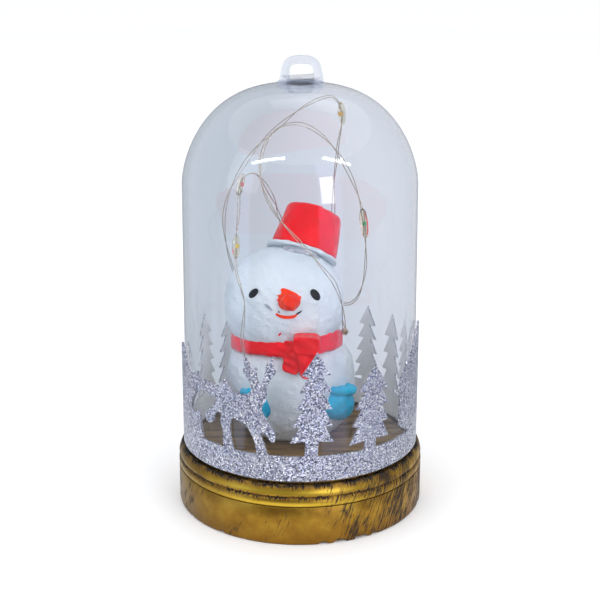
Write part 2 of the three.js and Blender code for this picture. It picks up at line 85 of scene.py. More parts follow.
def addModifier(obj, kind, **settings):
    modifier = obj.modifiers.new(kind.lower(), kind)
    for key, value in settings.items():
        setattr(modifier, key, value)
    pick(obj)
    bpy.ops.object.modifier_apply(modifier=modifier.name)
    return obj


def smooth(obj, angle=35):
    pick(obj)
    bpy.ops.object.shade_smooth_by_angle(angle=math.radians(angle))
    return obj


def place(obj):
    # puts the object's place into its mesh
    pick(obj)
    bpy.ops.object.transform_apply(location=True, rotation=True, scale=True)
    return obj


def seat(obj, at, *turns):
    # moves a piece to a place in millimetres, turned by (degrees, axis) pairs, the last one first
    obj.matrix_world = Matrix.Translation([a * mm for a in at])
    for degrees, axis in turns:
        obj.matrix_world = obj.matrix_world @ Matrix.Rotation(math.radians(degrees), 4, axis)
    return place(obj)


def newMesh(name, corners, edges=(), faces=()):
    # corners in millimetres
    mesh = bpy.data.meshes.new(name)
    mesh.from_pydata([[c * mm for c in corner] for corner in corners], edges, faces)
    obj = bpy.data.objects.new(name, mesh)
    bpy.context.scene.collection.objects.link(obj)
    return obj


def turned(name, profile, steps=96):
    # half section of [radius, height] pairs in millimetres, spun about the upright axis
    edges = [(i, i + 1) for i in range(len(profile) - 1)]
    obj = newMesh(name, [(r, 0, z) for r, z in profile], edges)
    openEdit(obj)
    bpy.ops.mesh.spin(steps=steps, angle=fullTurn, center=(0, 0, 0), axis=(0, 0, 1))
    bpy.ops.mesh.select_all(action="SELECT")
    bpy.ops.mesh.remove_doubles(threshold=1e-6)
    bpy.ops.mesh.normals_make_consistent(inside=False)
    closeEdit()
    return obj


def rounded(points, closed=False, rounds=1):
    # cuts the corners of a line of points, once for each round
    for _ in range(rounds):
        ends = list(zip(points, points[1:] + (points[:1] if closed else [])))
        cut = []
        for a, b in ends:
            cut.append([p + (q - p) * 0.25 for p, q in zip(a, b)])
            cut.append([p + (q - p) * 0.75 for p, q in zip(a, b)])
        points = cut if closed else [points[0]] + cut[1:-1] + [points[-1]]
    return points


def reshape(obj, move):
    # passes the corners, as an array in millimetres, through a function
    mesh = obj.data
    co = np.empty(len(mesh.vertices) * 3)
    mesh.vertices.foreach_get("co", co)
    moved = move(co.reshape(-1, 3) / mm) * mm
    mesh.vertices.foreach_set("co", moved.ravel())
    mesh.update()
    return obj


def merged(name, pieces):
    pick(pieces[0])
    for piece in pieces:
        piece.select_set(True)
    bpy.ops.object.join()
    pieces[0].name = name
    pieces[0].data.name = name
    return pieces[0]


def cast(name, pieces, voxel, passes=4):
    # melts overlapping solids into one skin, as in a mould
    obj = merged(name, pieces)
    addModifier(obj, "REMESH", mode="VOXEL", voxel_size=voxel * mm)
    addModifier(obj, "SMOOTH", factor=0.5, iterations=passes)
    return obj


def combine(obj, tool, operation):
    # cuts a tool out of a solid or adds it on, and takes the tool away
    modifier = obj.modifiers.new("combine", "BOOLEAN")
    modifier.object = tool
    modifier.operation = operation
    modifier.solver = "EXACT"
    pick(obj)
    bpy.ops.object.modifier_apply(modifier="combine")
    bpy.data.objects.remove(tool)


def ball(name, at, half, across=32, up=20):
    bpy.ops.object.select_all(action="DESELECT")
    bpy.ops.mesh.primitive_uv_sphere_add(segments=across, ring_count=up, radius=1)
    obj = bpy.context.active_object
    obj.name = name
    obj.data.name = name
    obj.scale = [h * mm for h in half]
    obj.location = [a * mm for a in at]
    return place(obj)


def block(sizes, at=(0, 0, 0)):
    # a box from its sizes and its middle, in millimetres
    bpy.ops.object.select_all(action="DESELECT")
    bpy.ops.mesh.primitive_cube_add(size=mm, location=[a * mm for a in at])
    obj = bpy.context.active_object
    obj.scale = sizes
    return place(obj)


def slab(name, outline, depth, y):
    # an outline of [x, z] pairs in millimetres, from y back by depth
    corners = [(x, y, z) for x, z in outline]
    obj = newMesh(name, corners, faces=[list(range(len(corners)))])
    openEdit(obj)
    bpy.ops.mesh.extrude_region_move(TRANSFORM_OT_translate={"value": (0, depth * mm, 0)})
    bpy.ops.mesh.select_all(action="SELECT")
    bpy.ops.mesh.normals_make_consistent(inside=False)
    closeEdit()
    return obj


def finishPiece(obj, body, replaced=(), material=None):
    if material:
        obj.data.materials.clear()
        obj.data.materials.append(material)
    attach(obj, body)
    if replaced:
        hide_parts(*replaced)
    return obj


def wavy(co, size, amount, seed=0, stretch=(1, 1, 1)):
    # smooth random numbers from -amount to amount at each point, with bumps of the given size
    # in millimetres
    rng = np.random.default_rng(seed)
    total = np.zeros(len(co))
    for _ in range(9):
        way = rng.normal(size=3)
        way /= np.linalg.norm(way) * size / rng.uniform(0.7, 1.4)
        total += np.sin(fullTurn * (co / stretch) @ way + rng.uniform(0, fullTurn))
    return total / 9 * amount * 2


def swell(obj, size, amount, seed=0, stretch=(1, 1, 1)):
    # moves each corner along its normal by a smooth random amount, both in millimetres
    normals = np.array([v.normal for v in obj.data.vertices])
    return reshape(obj, lambda co: co + normals * wavy(co, size, amount, seed, stretch)[:, None])


# ---- helpers for finishes ----

def colour(code):
    # an sRGB hex value as the linear colour that shaders take
    parts = [int(code[i:i + 2], 16) / 255 for i in (0, 2, 4)]
    return tuple(p / 12.92 if p <= 0.04045 else ((p + 0.055) / 1.055) ** 2.4 for p in parts) + (1.0,)


def addNode(tree, kind, links=None, **settings):
    # adds a node: plain settings by name, sockets as sN, and links from other nodes' sockets
    node = tree.nodes.new("ShaderNode" + kind)
    for key, value in settings.items():
        if key[0] == "s" and key[1:].isdigit():
            node.inputs[int(key[1:])].default_value = value
        else:
            setattr(node, key, value)
    for socket, source in (links or {}).items():
        tree.links.new(source, node.inputs[socket])
    return node


def newFinish(name, base, roughness, metallic=0.0, **sockets):
    material = bpy.data.materials.new(name)
    material.use_nodes = True
    tree = material.node_tree
    shader = tree.nodes["Principled BSDF"]
    shader.inputs["Base Color"].default_value = colour(base)
    shader.inputs["Roughness"].default_value = roughness
    shader.inputs["Metallic"].default_value = metallic
    for key, value in sockets.items():
        shader.inputs[key.replace("_", " ")].default_value = value
    return material, tree, shader


def spots(tree, size, detail=2.0, stretch=(1, 1, 1), source=None, rough=0.5):
    # noise whose blotches are about that many millimetres across
    if source is None:
        source = addNode(tree, "TexCoord").outputs["Object"]
    spread = addNode(tree, "Mapping", {0: source}, s3=tuple(1 / s for s in stretch))
    found = addNode(tree, "TexNoise", {"Vector": spread.outputs[0]})
    found.inputs["Scale"].default_value = 1 / (size * mm)
    found.inputs["Detail"].default_value = detail
    found.inputs["Roughness"].default_value = rough
    return found.outputs[0]


def ramp(tree, source, stops):
    # a colour ramp from (place, sRGB hex) stops
    node = addNode(tree, "ValToRGB", {0: source})
    elements = node.color_ramp.elements
    while len(elements) < len(stops):
        elements.new(0.5)
    for element, (at, code) in zip(elements, stops):
        element.position = at
        element.color = colour(code)
    return node.outputs[0]


def bump(tree, shader, source, height, strength=1.0):
    # height in millimetres; a bump that is already there is kept underneath
    node = addNode(tree, "Bump", {"Height": source})
    node.inputs["Strength"].default_value = strength
    node.inputs["Distance"].default_value = height * mm
    if shader.inputs["Normal"].is_linked:
        tree.links.new(shader.inputs["Normal"].links[0].from_socket, node.inputs["Normal"])
    tree.links.new(node.outputs[0], shader.inputs["Normal"])


def remap(tree, source, fromLow, fromHigh, toLow=0.0, toHigh=1.0):
    # one range of values stretched onto another, and held at its ends
    return addNode(tree, "MapRange", {0: source}, s1=fromLow, s2=fromHigh, s3=toLow, s4=toHigh).outputs[0]


def vary(tree, shader, socket, source, low, high):
    # drives a socket between two values with a pattern
    tree.links.new(remap(tree, source, 0.3, 0.7, low, high), shader.inputs[socket])


def mathNode(tree, operation, *values):
    node = addNode(tree, "Math", operation=operation)
    for i, value in enumerate(values):
        if isinstance(value, (int, float)):
            node.inputs[i].default_value = value
        else:
            tree.links.new(value, node.inputs[i])
    return node.outputs[0]


def times(tree, first, second):
    return mathNode(tree, "MULTIPLY", first, second)


def plus(tree, first, second):
    return mathNode(tree, "ADD", first, second)


def mixColours(tree, factor, first, second):
    node = addNode(tree, "Mix", data_type="RGBA")
    tree.links.new(factor, node.inputs[0])
    for i, value in ((6, first), (7, second)):
        if isinstance(value, str):
            node.inputs[i].default_value = colour(value)
        else:
            tree.links.new(value, node.inputs[i])
    return node.outputs[2]


# ---- finishes ----

def clearPlastic(name, tint, roughness, bend=1.5, haze=0.0):
    # clear moulded plastic: sharp to see through, faintly tinted, and light reaches what stands in it
    material, tree, shader = newFinish(name, tint, roughness, IOR=bend)
    shader.inputs["Transmission Weight"].default_value = 1.0
    shader.inputs["Specular IOR Level"].default_value = 0.15
    path = addNode(tree, "LightPath")
    through = addNode(tree, "BsdfTransparent")
    through.inputs[0].default_value = colour("F6F8FB")
    # haze lets a share of the light straight through, as flow marks in a thick moulding do
    share = mathNode(tree, "MAXIMUM", path.outputs["Is Shadow Ray"], haze)
    mixed = addNode(tree, "MixShader", {0: share, 1: shader.outputs[0], 2: through.outputs[0]})
    tree.links.new(mixed.outputs[0], tree.nodes["Material Output"].inputs[0])
    return material


def dryBrushedGold():
    # moulded plastic with a black undercoat, its high places dry-brushed in satin gold, its grooves sooty;
    # painted shade darkens it towards the foot and round the left end, and a painted highlight brightens
    # the front of the rolls
    material, tree, shader = newFinish("dryBrushedGoldPaint", "A8822F", 0.4, Specular_IOR_Level=0.25)
    places = addNode(tree, "TexCoord").outputs["Object"]
    apart = addNode(tree, "SeparateXYZ", {0: places})
    x, y, z = apart.outputs[0], apart.outputs[1], apart.outputs[2]
    angle = mathNode(tree, "ARCTAN2", x, times(tree, y, -1.0))
    along = times(tree, angle, baseR * mm)
    wrapped = addNode(tree, "CombineXYZ", {0: along, 1: z}).outputs[0]
    # bristle marks: fine across the stroke, long down it
    bristles = spots(tree, 0.5, 4, (1, 4, 1), wrapped, 0.65)
    blotches = spots(tree, 4.5, 2, (1, 1, 1), wrapped)
    jagged = times(tree, mathNode(tree, "SUBTRACT", bristles, 0.5), 4.6 * mm)
    height = plus(tree, z, jagged)
    zones = remap(tree, height, 0.0, capTop * mm)
    grooves = ramp(tree, zones, [
        (0.0, "999999"), (0.02, "000000"), (0.612, "000000"), (0.63, "777777"), (0.65, "000000"),
        (0.755, "000000"), (0.782, "FFFFFF"), (0.808, "FFFFFF"), (0.835, "000000"), (0.93, "000000"),
        (0.968, "FFFFFF"), (1.0, "FFFFFF")])
    grooveInk = times(tree, addNode(tree, "RGBToBW", {0: grooves}).outputs[0],
                         remap(tree, blotches, 0.33, 0.5, 0.25, 1.0))
    # slanted dark streaks where the brush ran dry, thickest on the front right
    slanted = addNode(tree, "CombineXYZ", {
        0: plus(tree, along, times(tree, z, -0.42)), 1: z}).outputs[0]
    streaks = spots(tree, 0.6, 5, (1, 7, 1), slanted, 0.7)
    wornRight = remap(tree, x, 0.0, 0.0195)
    wornEnd = remap(tree, angle, 2.0, 1.3)
    wornLeft = remap(tree, x, -0.0255, -0.0361, 0.0, 0.6)
    worn = mathNode(tree, "MAXIMUM", times(tree, wornRight, wornEnd), wornLeft)
    patches = spots(tree, 9, 2, (1, 1.4, 1), slanted)
    dry = plus(tree, plus(tree, streaks, times(tree, patches, 0.6)),
                   times(tree, worn, 0.185))
    streaked = remap(tree, dry, 0.93, 1.03)
    specks = remap(tree, spots(tree, 1.1, 4, (1, 1.6, 1), slanted, 0.7), 0.66, 0.75)
    marks = mathNode(tree, "MAXIMUM", times(tree, streaked, 0.9), times(tree, specks, 0.7))
    black = mathNode(tree, "MAXIMUM", grooveInk, marks)
    gold = ramp(tree, spots(tree, 7, 4, (1, 1, 1), wrapped, 0.6),
                [(0.3, "85601F"), (0.5, "A07828"), (0.7, "B99235")])
    # painted shade: the gold is darker and browner towards the foot
    low = remap(tree, z, 0.0, 0.008, 0.75, 0.0)
    gold = mixColours(tree, low, gold, "7A521C")
    # painted shade: the gold is duskier round the left end
    leftEndShade = remap(tree, x, -0.0128, -0.0356, 0.0, 0.6)
    gold = mixColours(tree, leftEndShade, gold, "5A4A20")
    # the rolls get brighter gold: partly more gold left by the brush on the high places, partly a painted
    # highlight that is strongest on the front
    rollGoldAndHighlight = ramp(tree, remap(tree, z, 0.0, capTop * mm), [
        (0.62, "000000"), (0.69, "E6E6E6"), (0.75, "000000"), (0.83, "000000"), (0.88, "E6E6E6"),
        (0.94, "000000")])
    frontHighlight = remap(tree, mathNode(tree, "ABSOLUTE", plus(tree, angle, 0.1)), 0.8, 0.15, 0.1, 1.0)
    rollGoldAndHighlight = times(tree, addNode(tree, "RGBToBW", {0: rollGoldAndHighlight}).outputs[0], frontHighlight)
    gold = mixColours(tree, rollGoldAndHighlight, gold, "E8C440")
    # the floor under the dome is a thinner, browner coat, brushed one way
    floorTone = ramp(tree, spots(tree, 3.2, 5, (6, 1, 1), None, 0.65),
                     [(0.32, "5A4428"), (0.5, "937348"), (0.68, "BA9662")])
    radius = mathNode(tree, "SQRT", plus(tree, times(tree, x, x), times(tree, y, y)))
    onTop = times(tree, mathNode(tree, "GREATER_THAN", z, 17.3 * mm),
                  mathNode(tree, "LESS_THAN", radius, 33.3 * mm))
    coat = mixColours(tree, black, gold, "0E0C10")
    tree.links.new(mixColours(tree, onTop, coat, floorTone), shader.inputs["Base Color"])
    shine = times(tree, mathNode(tree, "SUBTRACT", 1.0, black),
                  mathNode(tree, "SUBTRACT", 1.0, times(tree, onTop, 0.75)))
    tree.links.new(times(tree, shine, 0.8), shader.inputs["Metallic"])
    tree.links.new(plus(tree, times(tree, black, 0.3), 0.34), shader.inputs["Roughness"])
    bump(tree, shader, bristles, 0.05)
    bump(tree, shader, spots(tree, 0.5, 2), 0.02)
    return material


def mixedTint(code):
    # a highlight that is half the colour of the paint
    return tuple((c + 0.35) / 1.35 for c in colour(code)[:3]) + (1.0,)


def enamel(name, deep, light, roughness, shine=0.3):
    # hand-brushed gloss enamel: strong colour, soft ripples from the brush, small bright highlights
    material, tree, shader = newFinish(name, light, roughness)
    tone = ramp(tree, spots(tree, 5, 3), [(0.35, deep), (0.62, light)])
    tree.links.new(tone, shader.inputs["Base Color"])
    shader.inputs["Specular IOR Level"].default_value = shine
    shader.inputs["Specular Tint"].default_value = mixedTint(light)
    bump(tree, shader, spots(tree, 1.6, 2, (1, 1, 2.5)), 0.26)
    bump(tree, shader, spots(tree, 0.6, 2), 0.1)
    return material


def castResin():
    # cast resin under a chalky white coat: matt, cool white, stippled by the brush
    material, tree, shader = newFinish("chalkyWhiteCastResin", "E6EBEE", 0.6)
    clouds = ramp(tree, spots(tree, 12, 3), [(0.3, "CDD5DB"), (0.55, "DCE2E6"), (0.75, "E2E6E8")])
    grime = remap(tree, spots(tree, 1.3, 5, (1, 1, 1), None, 0.7), 0.72, 0.8)
    tone = mixColours(tree, times(tree, grime, 0.35), clouds, "9DA3A6")
    tree.links.new(tone, shader.inputs["Base Color"])
    bump(tree, shader, spots(tree, 2.0, 3), 0.42)
    bump(tree, shader, spots(tree, 0.6, 3, (1, 1, 1), None, 0.65), 0.2)
    return material


def glitterFilm():
    # silver glitter film: loose flakes about 0.3 mm across lie at all angles in clear glue
    material, tree, shader = newFinish("silverGlitterFilm", "B9BBC4", 0.34, 0.65)
    places = addNode(tree, "TexCoord").outputs["Object"]
    cells = addNode(tree, "TexVoronoi", {"Vector": places})
    cells.inputs["Scale"].default_value = 1 / (0.33 * mm)
    apart = addNode(tree, "SeparateXYZ", {0: cells.outputs["Color"]})
    tone = ramp(tree, apart.outputs[0], [
        (0.0, "3E3E4C"), (0.16, "70728A"), (0.4, "9A9DAE"), (0.7, "B8BBCA"), (0.88, "DCDEEA"),
        (1.0, "FFFFFF")])
    tree.links.new(tone, shader.inputs["Base Color"])
    tilt = addNode(tree, "VectorMath", {0: cells.outputs["Color"]}, operation="SUBTRACT",
                   s1=(0.5, 0.5, 0.5))
    lean = addNode(tree, "VectorMath", {0: tilt.outputs[0]}, operation="SCALE")
    lean.inputs["Scale"].default_value = 1.1
    normal = addNode(tree, "NewGeometry").outputs["Normal"]
    tipped = addNode(tree, "VectorMath", {0: normal, 1: lean.outputs[0]}, operation="ADD")
    unit = addNode(tree, "VectorMath", {0: tipped.outputs[0]}, operation="NORMALIZE")
    tree.links.new(unit.outputs[0], shader.inputs["Normal"])
    return material


def plain(name, base, roughness, metallic=0.0, grain=0.3, height=0.02, shade=0.12, stretch=(1, 1, 1),
          **sockets):
    # one material with a fine grain: its tone and roughness drift a little, and its skin is not quite flat
    material, tree, shader = newFinish(name, base, roughness, metallic, **sockets)
    drift = spots(tree, grain * 12, 3, stretch)
    darker = tuple(c * (1 - shade) for c in colour(base)[:3]) + (1.0,)
    tone = addNode(tree, "Mix", data_type="RGBA")
    tree.links.new(drift, tone.inputs[0])
    tone.inputs[6].default_value = darker
    tone.inputs[7].default_value = colour(base)
    tree.links.new(tone.outputs[2], shader.inputs["Base Color"])
    vary(tree, shader, "Roughness", drift, max(roughness - 0.06, 0.02), roughness + 0.08)
    bump(tree, shader, spots(tree, grain, 2, stretch), height)
    return material


print("finishes")
domeClear = clearPlastic("clearPolystyreneShell", "F3F5F8", 0.015)
loopClear = clearPlastic("clearPolystyreneLoop", "E9ECF4", 0.12, 1.3, 0.75)
epoxyClear = clearPlastic("clearEpoxyDrop", "F6F0DC", 0.05)
goldPaint = dryBrushedGold()
whiteResin = castResin()
redEnamel = enamel("redGlossEnamel", "E80010", "FA0018", 0.1)
orangeEnamel = enamel("orangeGlossEnamel", "F02400", "FF3C04", 0.14)
blueEnamel = enamel("skyBlueGlossEnamel", "0CA4CE", "1CBCE0", 0.2)
blackEnamel = enamel("blackGlossEnamel", "08090D", "14171E", 0.18)
silverGlue = plain("silverTintedGlue", "DCDEE6", 0.13, 0.75, 1.3, 0.35, 0.5)
glitter = glitterFilm()
filmBack = plain("greyFilmBacking", "F4F5F7", 0.6, 0.0, 0.5, 0.03, 0.15, Subsurface_Weight=0.7,
                 Subsurface_Scale=0.003,
                 # smooth thin back of the glitter film; light comes through it
                 Subsurface_Radius=(1.0, 1.0, 1.0))
# fine spark-eroded mould texture
blackPlastic = plain("mouldedBlackAbs", "202022", 0.45, 0.0, 0.35, 0.03, 0.25)
zincSteel = plain("zincPlatedSteel", "B8BABD", 0.3, 1.0, 0.4, 0.01, 0.2)
cellSteel = plain("nickelPlatedSteel", "C9C9C7", 0.22, 1.0, 0.3, 0.005, 0.1, (8, 1, 1))
brassStrip = plain("rolledBrassStrip", "C8A24C", 0.3, 1.0, 0.3, 0.005, 0.2, (1, 1, 8))
# tinned look with a brown lacquer
silverWire = plain("enamelledCopperWire", "C0B4A2", 0.26, 0.85, 0.5, 0.0, 0.3)
hotMelt = plain("hotMeltGlue", "E4DECD", 0.35, 0.0, 1.5, 0.1, 0.1)
chipFinishes = [plain("phosphor" + tone, tone, 0.4, 0.0, 0.3, 0.01, 0.1)
                for tone in ("E8C81E", "E9B21A", "1E9E58", "D8A02A", "E05A5A", "E8C81E", "E8C81E")]


# ---- micro-light string ----

stringValues = {
    "route": [
        (-0.012, 0.0255, 0.0196), (-0.015, 0.0265, 0.038), (-0.02, 0.0165, 0.064), (-0.023, 0.0055, 0.084),
        (-0.021, 0.0055, 0.095), (-0.013, 0.008, 0.1075), (-0.005, 0.006, 0.1155), (0.0035, 0.003, 0.122),
        (0.0095, 0.0025, 0.1235), (0.0122, 0.0045, 0.1185), (0.0115, 0.008, 0.1095),
        (0.0105, 0.016, 0.0965),
        (0.0105, 0.025, 0.082), (0.0095, 0.026, 0.066), (0.0126, 0.0155, 0.0573), (0.0173, 0.008, 0.0605),
        (0.0198, 0.0055, 0.07), (0.0193, 0.0025, 0.084), (0.0175, 0.002, 0.0935), (0.0135, 0, 0.103),
        (0.0075, -0.003, 0.112), (0, -0.004, 0.1165), (-0.007, -0.005, 0.115), (-0.011, -0.007, 0.1075),
        (-0.0105, -0.01, 0.0985), (-0.005, -0.0125, 0.0895), (0.0095, -0.0135, 0.0725),
        (0.0127, -0.0095, 0.0615), (0.013, -0.0065, 0.0553), (0.0137, 0.007, 0.0526),
        (0.0065, 0.0235, 0.06),
        (-0.004, 0.0275, 0.075), (-0.008, 0.0135, 0.09), (-0.0135, 0.0065, 0.1), (-0.017, 0.0035, 0.099),
        (-0.018, -0.003, 0.09), (-0.0184, -0.012, 0.075), (-0.0159, -0.0148, 0.0665),
        (-0.0168, -0.0158, 0.055), (-0.0138, -0.0165, 0.0425),
    ],
    "strand": 0.26,  # wire thickness, mm
    "gap": (0.55, 0.5),  # distance between the strands, mm: least, and how much it grows
    "twist": 34,  # mm of string for one turn of the pair
    "beadSteps": [3, 20, 37, 56, 70, 73],  # eightieths of the string at which the drops sit
    "beadLength": 7.8,
    "beadWidth": 2.3,
}
stringSteps = 80  # equal steps that the drops are counted in
longDrop, tipDrop = 2, 6  # the drop that came out long, and the one on the string's end


def smoothLine(points, each=40):
    # a centripetal curve through the points
    pts = [Vector(p) for p in points]
    pts = [pts[0] * 2 - pts[1]] + pts + [pts[-1] * 2 - pts[-2]]
    found = []
    for i in range(1, len(pts) - 2):
        knots = [0.0]
        for a, b in zip(pts[i - 1:i + 2], pts[i:i + 3]):
            knots.append(knots[-1] + max((b - a).length, 1e-9) ** 0.5)
        for step in range(each):
            t = knots[1] + (knots[2] - knots[1]) * step / each
            row = pts[i - 1:i + 3]
            for depth in (1, 2, 3):
                row = [(row[j] * (knots[j + depth] - t) + row[j + 1] * (t - knots[j])) / (knots[j + depth]
                                                                                          - knots[j])
                       for j in range(len(row) - 1)]
            found.append(row[0])
    return found + [pts[-2]]


def spacedLine(points, count):
    # the same line cut into equal lengths
    co = np.array(points)
    lengths = np.concatenate([[0], np.cumsum(np.linalg.norm(np.diff(co, axis=0), axis=1))])
    marks = np.linspace(0, lengths[-1], count + 1)
    return np.stack([np.interp(marks, lengths, co[:, axis]) for axis in range(3)], axis=1), lengths[-1]


def wireMesh(name, points, thickness):
    # a round wire along points, thickness in millimetres
    data = bpy.data.curves.new(name, "CURVE")
    data.dimensions = "3D"
    data.bevel_depth = thickness / 2 * mm
    data.bevel_resolution = 2
    data.use_fill_caps = True
    line = data.splines.new("POLY")
    line.points.add(len(points) - 1)
    line.points.foreach_set("co", np.column_stack([points, np.ones(len(points))]).ravel())
    obj = bpy.data.objects.new(name, data)
    bpy.context.scene.collection.objects.link(obj)
    pick(obj)
    bpy.ops.object.convert(target="MESH")
    return obj


def makeString(values):
    fine = smoothLine(values["route"])
    line, length = spacedLine(fine, 560)
    ahead = np.gradient(line, axis=0)
    ahead /= np.linalg.norm(ahead, axis=1)[:, None]
    side = np.cross(ahead[0], (1.0, 0.0, 0.0))
    side /= np.linalg.norm(side)
    sides = []
    for way in ahead:  # carried along the line without turning about it
        side = side - way * (side @ way)
        side /= np.linalg.norm(side)
        sides.append(side)
    sides = np.array(sides)
    ups = np.cross(ahead, sides)
    run = np.linspace(0, length, len(line))
    turn = fullTurn * run / (values["twist"] * mm) + 1.3 * np.sin(run / 0.041) + 0.8 * np.sin(run / 0.017)
    least, growth = values["gap"]
    apart = (least + growth * (0.5 + 0.5 * np.sin(run / 0.0135 + 0.7))) / 2 * mm
    step = length / stringSteps
    for at in values["beadSteps"]:  # the strands close up in each drop
        apart *= 1 - 0.55 * np.exp(-((run - (at + 0.5) * step) / 0.004) ** 2)
    offset = (np.cos(turn)[:, None] * sides + np.sin(turn)[:, None] * ups) * apart[:, None]
    wobble = 0.05 * mm * np.sin(run / 0.0029)[:, None] * ups
    strands = [wireMesh(f"strand{i}", line + offset * sign + wobble, values["strand"]) for i,
               sign in ((0, 1), (1, -1))]
    pair = merged("lightStringPair", strands)
    smooth(pair, 60)
    return pair, line, run, ahead, length


def dropShape(length, width):
    points = []
    for i in range(13):
        t = i / 12
        r = width / 2 * max(math.sin(math.pi * t), 0) ** 0.45
        points.append([r, (t - 0.5) * length])
    return points


def makeBead(index, at, way, values, scale=1.0):
    # a drop of clear epoxy, with the lamp's chip inside it
    drop = turned(f"bead{index}",
                  dropShape(values["beadLength"] * scale, values["beadWidth"] * scale ** 0.5), 20)
    swell(drop, 2.5, 0.09, index)
    smooth(drop, 80)
    drop.data.materials.append(epoxyClear)
    chip = block((0.9, 0.55, 1.3))
    addModifier(chip, "BEVEL", width=0.12 * mm, segments=2)
    chip.data.materials.append(chipFinishes[index])
    chip.location = (0.25 * mm, 0, 0)
    place(chip)
    whole = merged(f"lightDrop{index + 1}", [drop, chip])
    whole.matrix_world = Matrix.Translation(at) @ Vector(way).to_track_quat("Z", "Y").to_matrix().to_4x4()
    return place(whole)


def makeLights(values):
    pair, line, run, ahead, length = makeString(values)
    finishPiece(pair, "base", ["light_string"], silverWire)
    beads = []
    step = length / stringSteps
    for i, at in enumerate(values["beadSteps"]):
        k = int(np.searchsorted(run, (at + 0.5) * step))
        beads.append(makeBead(i, Vector(line[k]), ahead[k], values, 1.25 if i == longDrop else 1.0))
    tip = Vector(line[-1]) + Vector(ahead[-1]) * 2.6 * mm
    beads.append(makeBead(tipDrop, tip, ahead[-1], values))
    for i, bead in enumerate(beads):
        finishPiece(bead, "base", [f"light_bead_{i + 1}"])


makeLights(stringValues)
print("light string")


# ---- dome, loop and glitter band ----

domeValues = {
    "footR": 35.15, "footZ": 16.0, "shoulderR": 34.6, "shoulderZ": 98.7, "topZ": 127.55, "wall": 1.3,
    "hole": 4.1,
    "steps": 128,
}


def domeLine(values, inset, steps, endR):
    points = [[values["footR"] - inset, values["footZ"]]]
    points += [[values["shoulderR"] + 0.35 - inset, 55.0],
               [values["shoulderR"] - inset, values["shoulderZ"]]]
    rise = values["topZ"] - inset - values["shoulderZ"]
    for i in range(1, steps + 1):
        turn = i / steps * math.pi / 2
        r = (values["shoulderR"] - inset) * max(math.cos(turn), 0) ** (2 / 2.73)
        if r > endR:
            points.append([r, values["shoulderZ"] + rise * math.sin(turn) ** (2 / 1.68)])
    return points + [[endR, values["topZ"] - inset - 0.05]]


def makeDome(values):
    outside = domeLine(values, 0, 40, values["hole"])
    inside = domeLine(values, values["wall"], 40, values["hole"])
    shell = turned("domeShell", outside + inside[::-1] + outside[:1], values["steps"])
    smooth(shell, 40)
    return finishPiece(shell, "dome", ["dome_cover"], domeClear)


def makeLoop():
    # hanging loop: a plug and flange on the dome, with an arch that has an eye through it
    arch = [[-6.5, 127.9], [-5.9, 131], [-5.3, 133.4], [-3.4, 135.1], [0, 135.6], [3.4, 135.1],
            [5.3, 133.4], [5.9, 131], [6.5, 127.9]]
    eye = [[3.4, 128.4], [3.4, 131.6], [2.9, 132.8], [1.7, 133.2], [-1.7, 133.2], [-2.9, 132.8],
           [-3.4, 131.6], [-3.4, 128.4]]
    around = rounded(arch, False, 2)
    hole = rounded(eye, False, 2)
    body = slab("loopArch", [[x + 0.4, z] for x, z in around], 3.4, -1.7)
    cutter = slab("loopEye", [[x + 0.4, z] for x, z in hole], 8, -4)
    combine(body, cutter, "DIFFERENCE")
    addModifier(body, "BEVEL", width=0.35 * mm, segments=3, limit_method="ANGLE",
                angle_limit=math.radians(50))
    flange = turned("loopFlange",
                    [[0, 124.9], [3.3, 124.9], [3.8, 125.4], [3.8, 127.6], [4.2, 127.65], [6.7, 127.65],
                                   [6.9, 127.8], [6.6, 128.1], [0, 128.15]], 64)
    loop = merged("hangingLoop", [body, flange])
    smooth(loop, 40)
    return finishPiece(loop, "dome", ["hanging_loop"], loopClear)


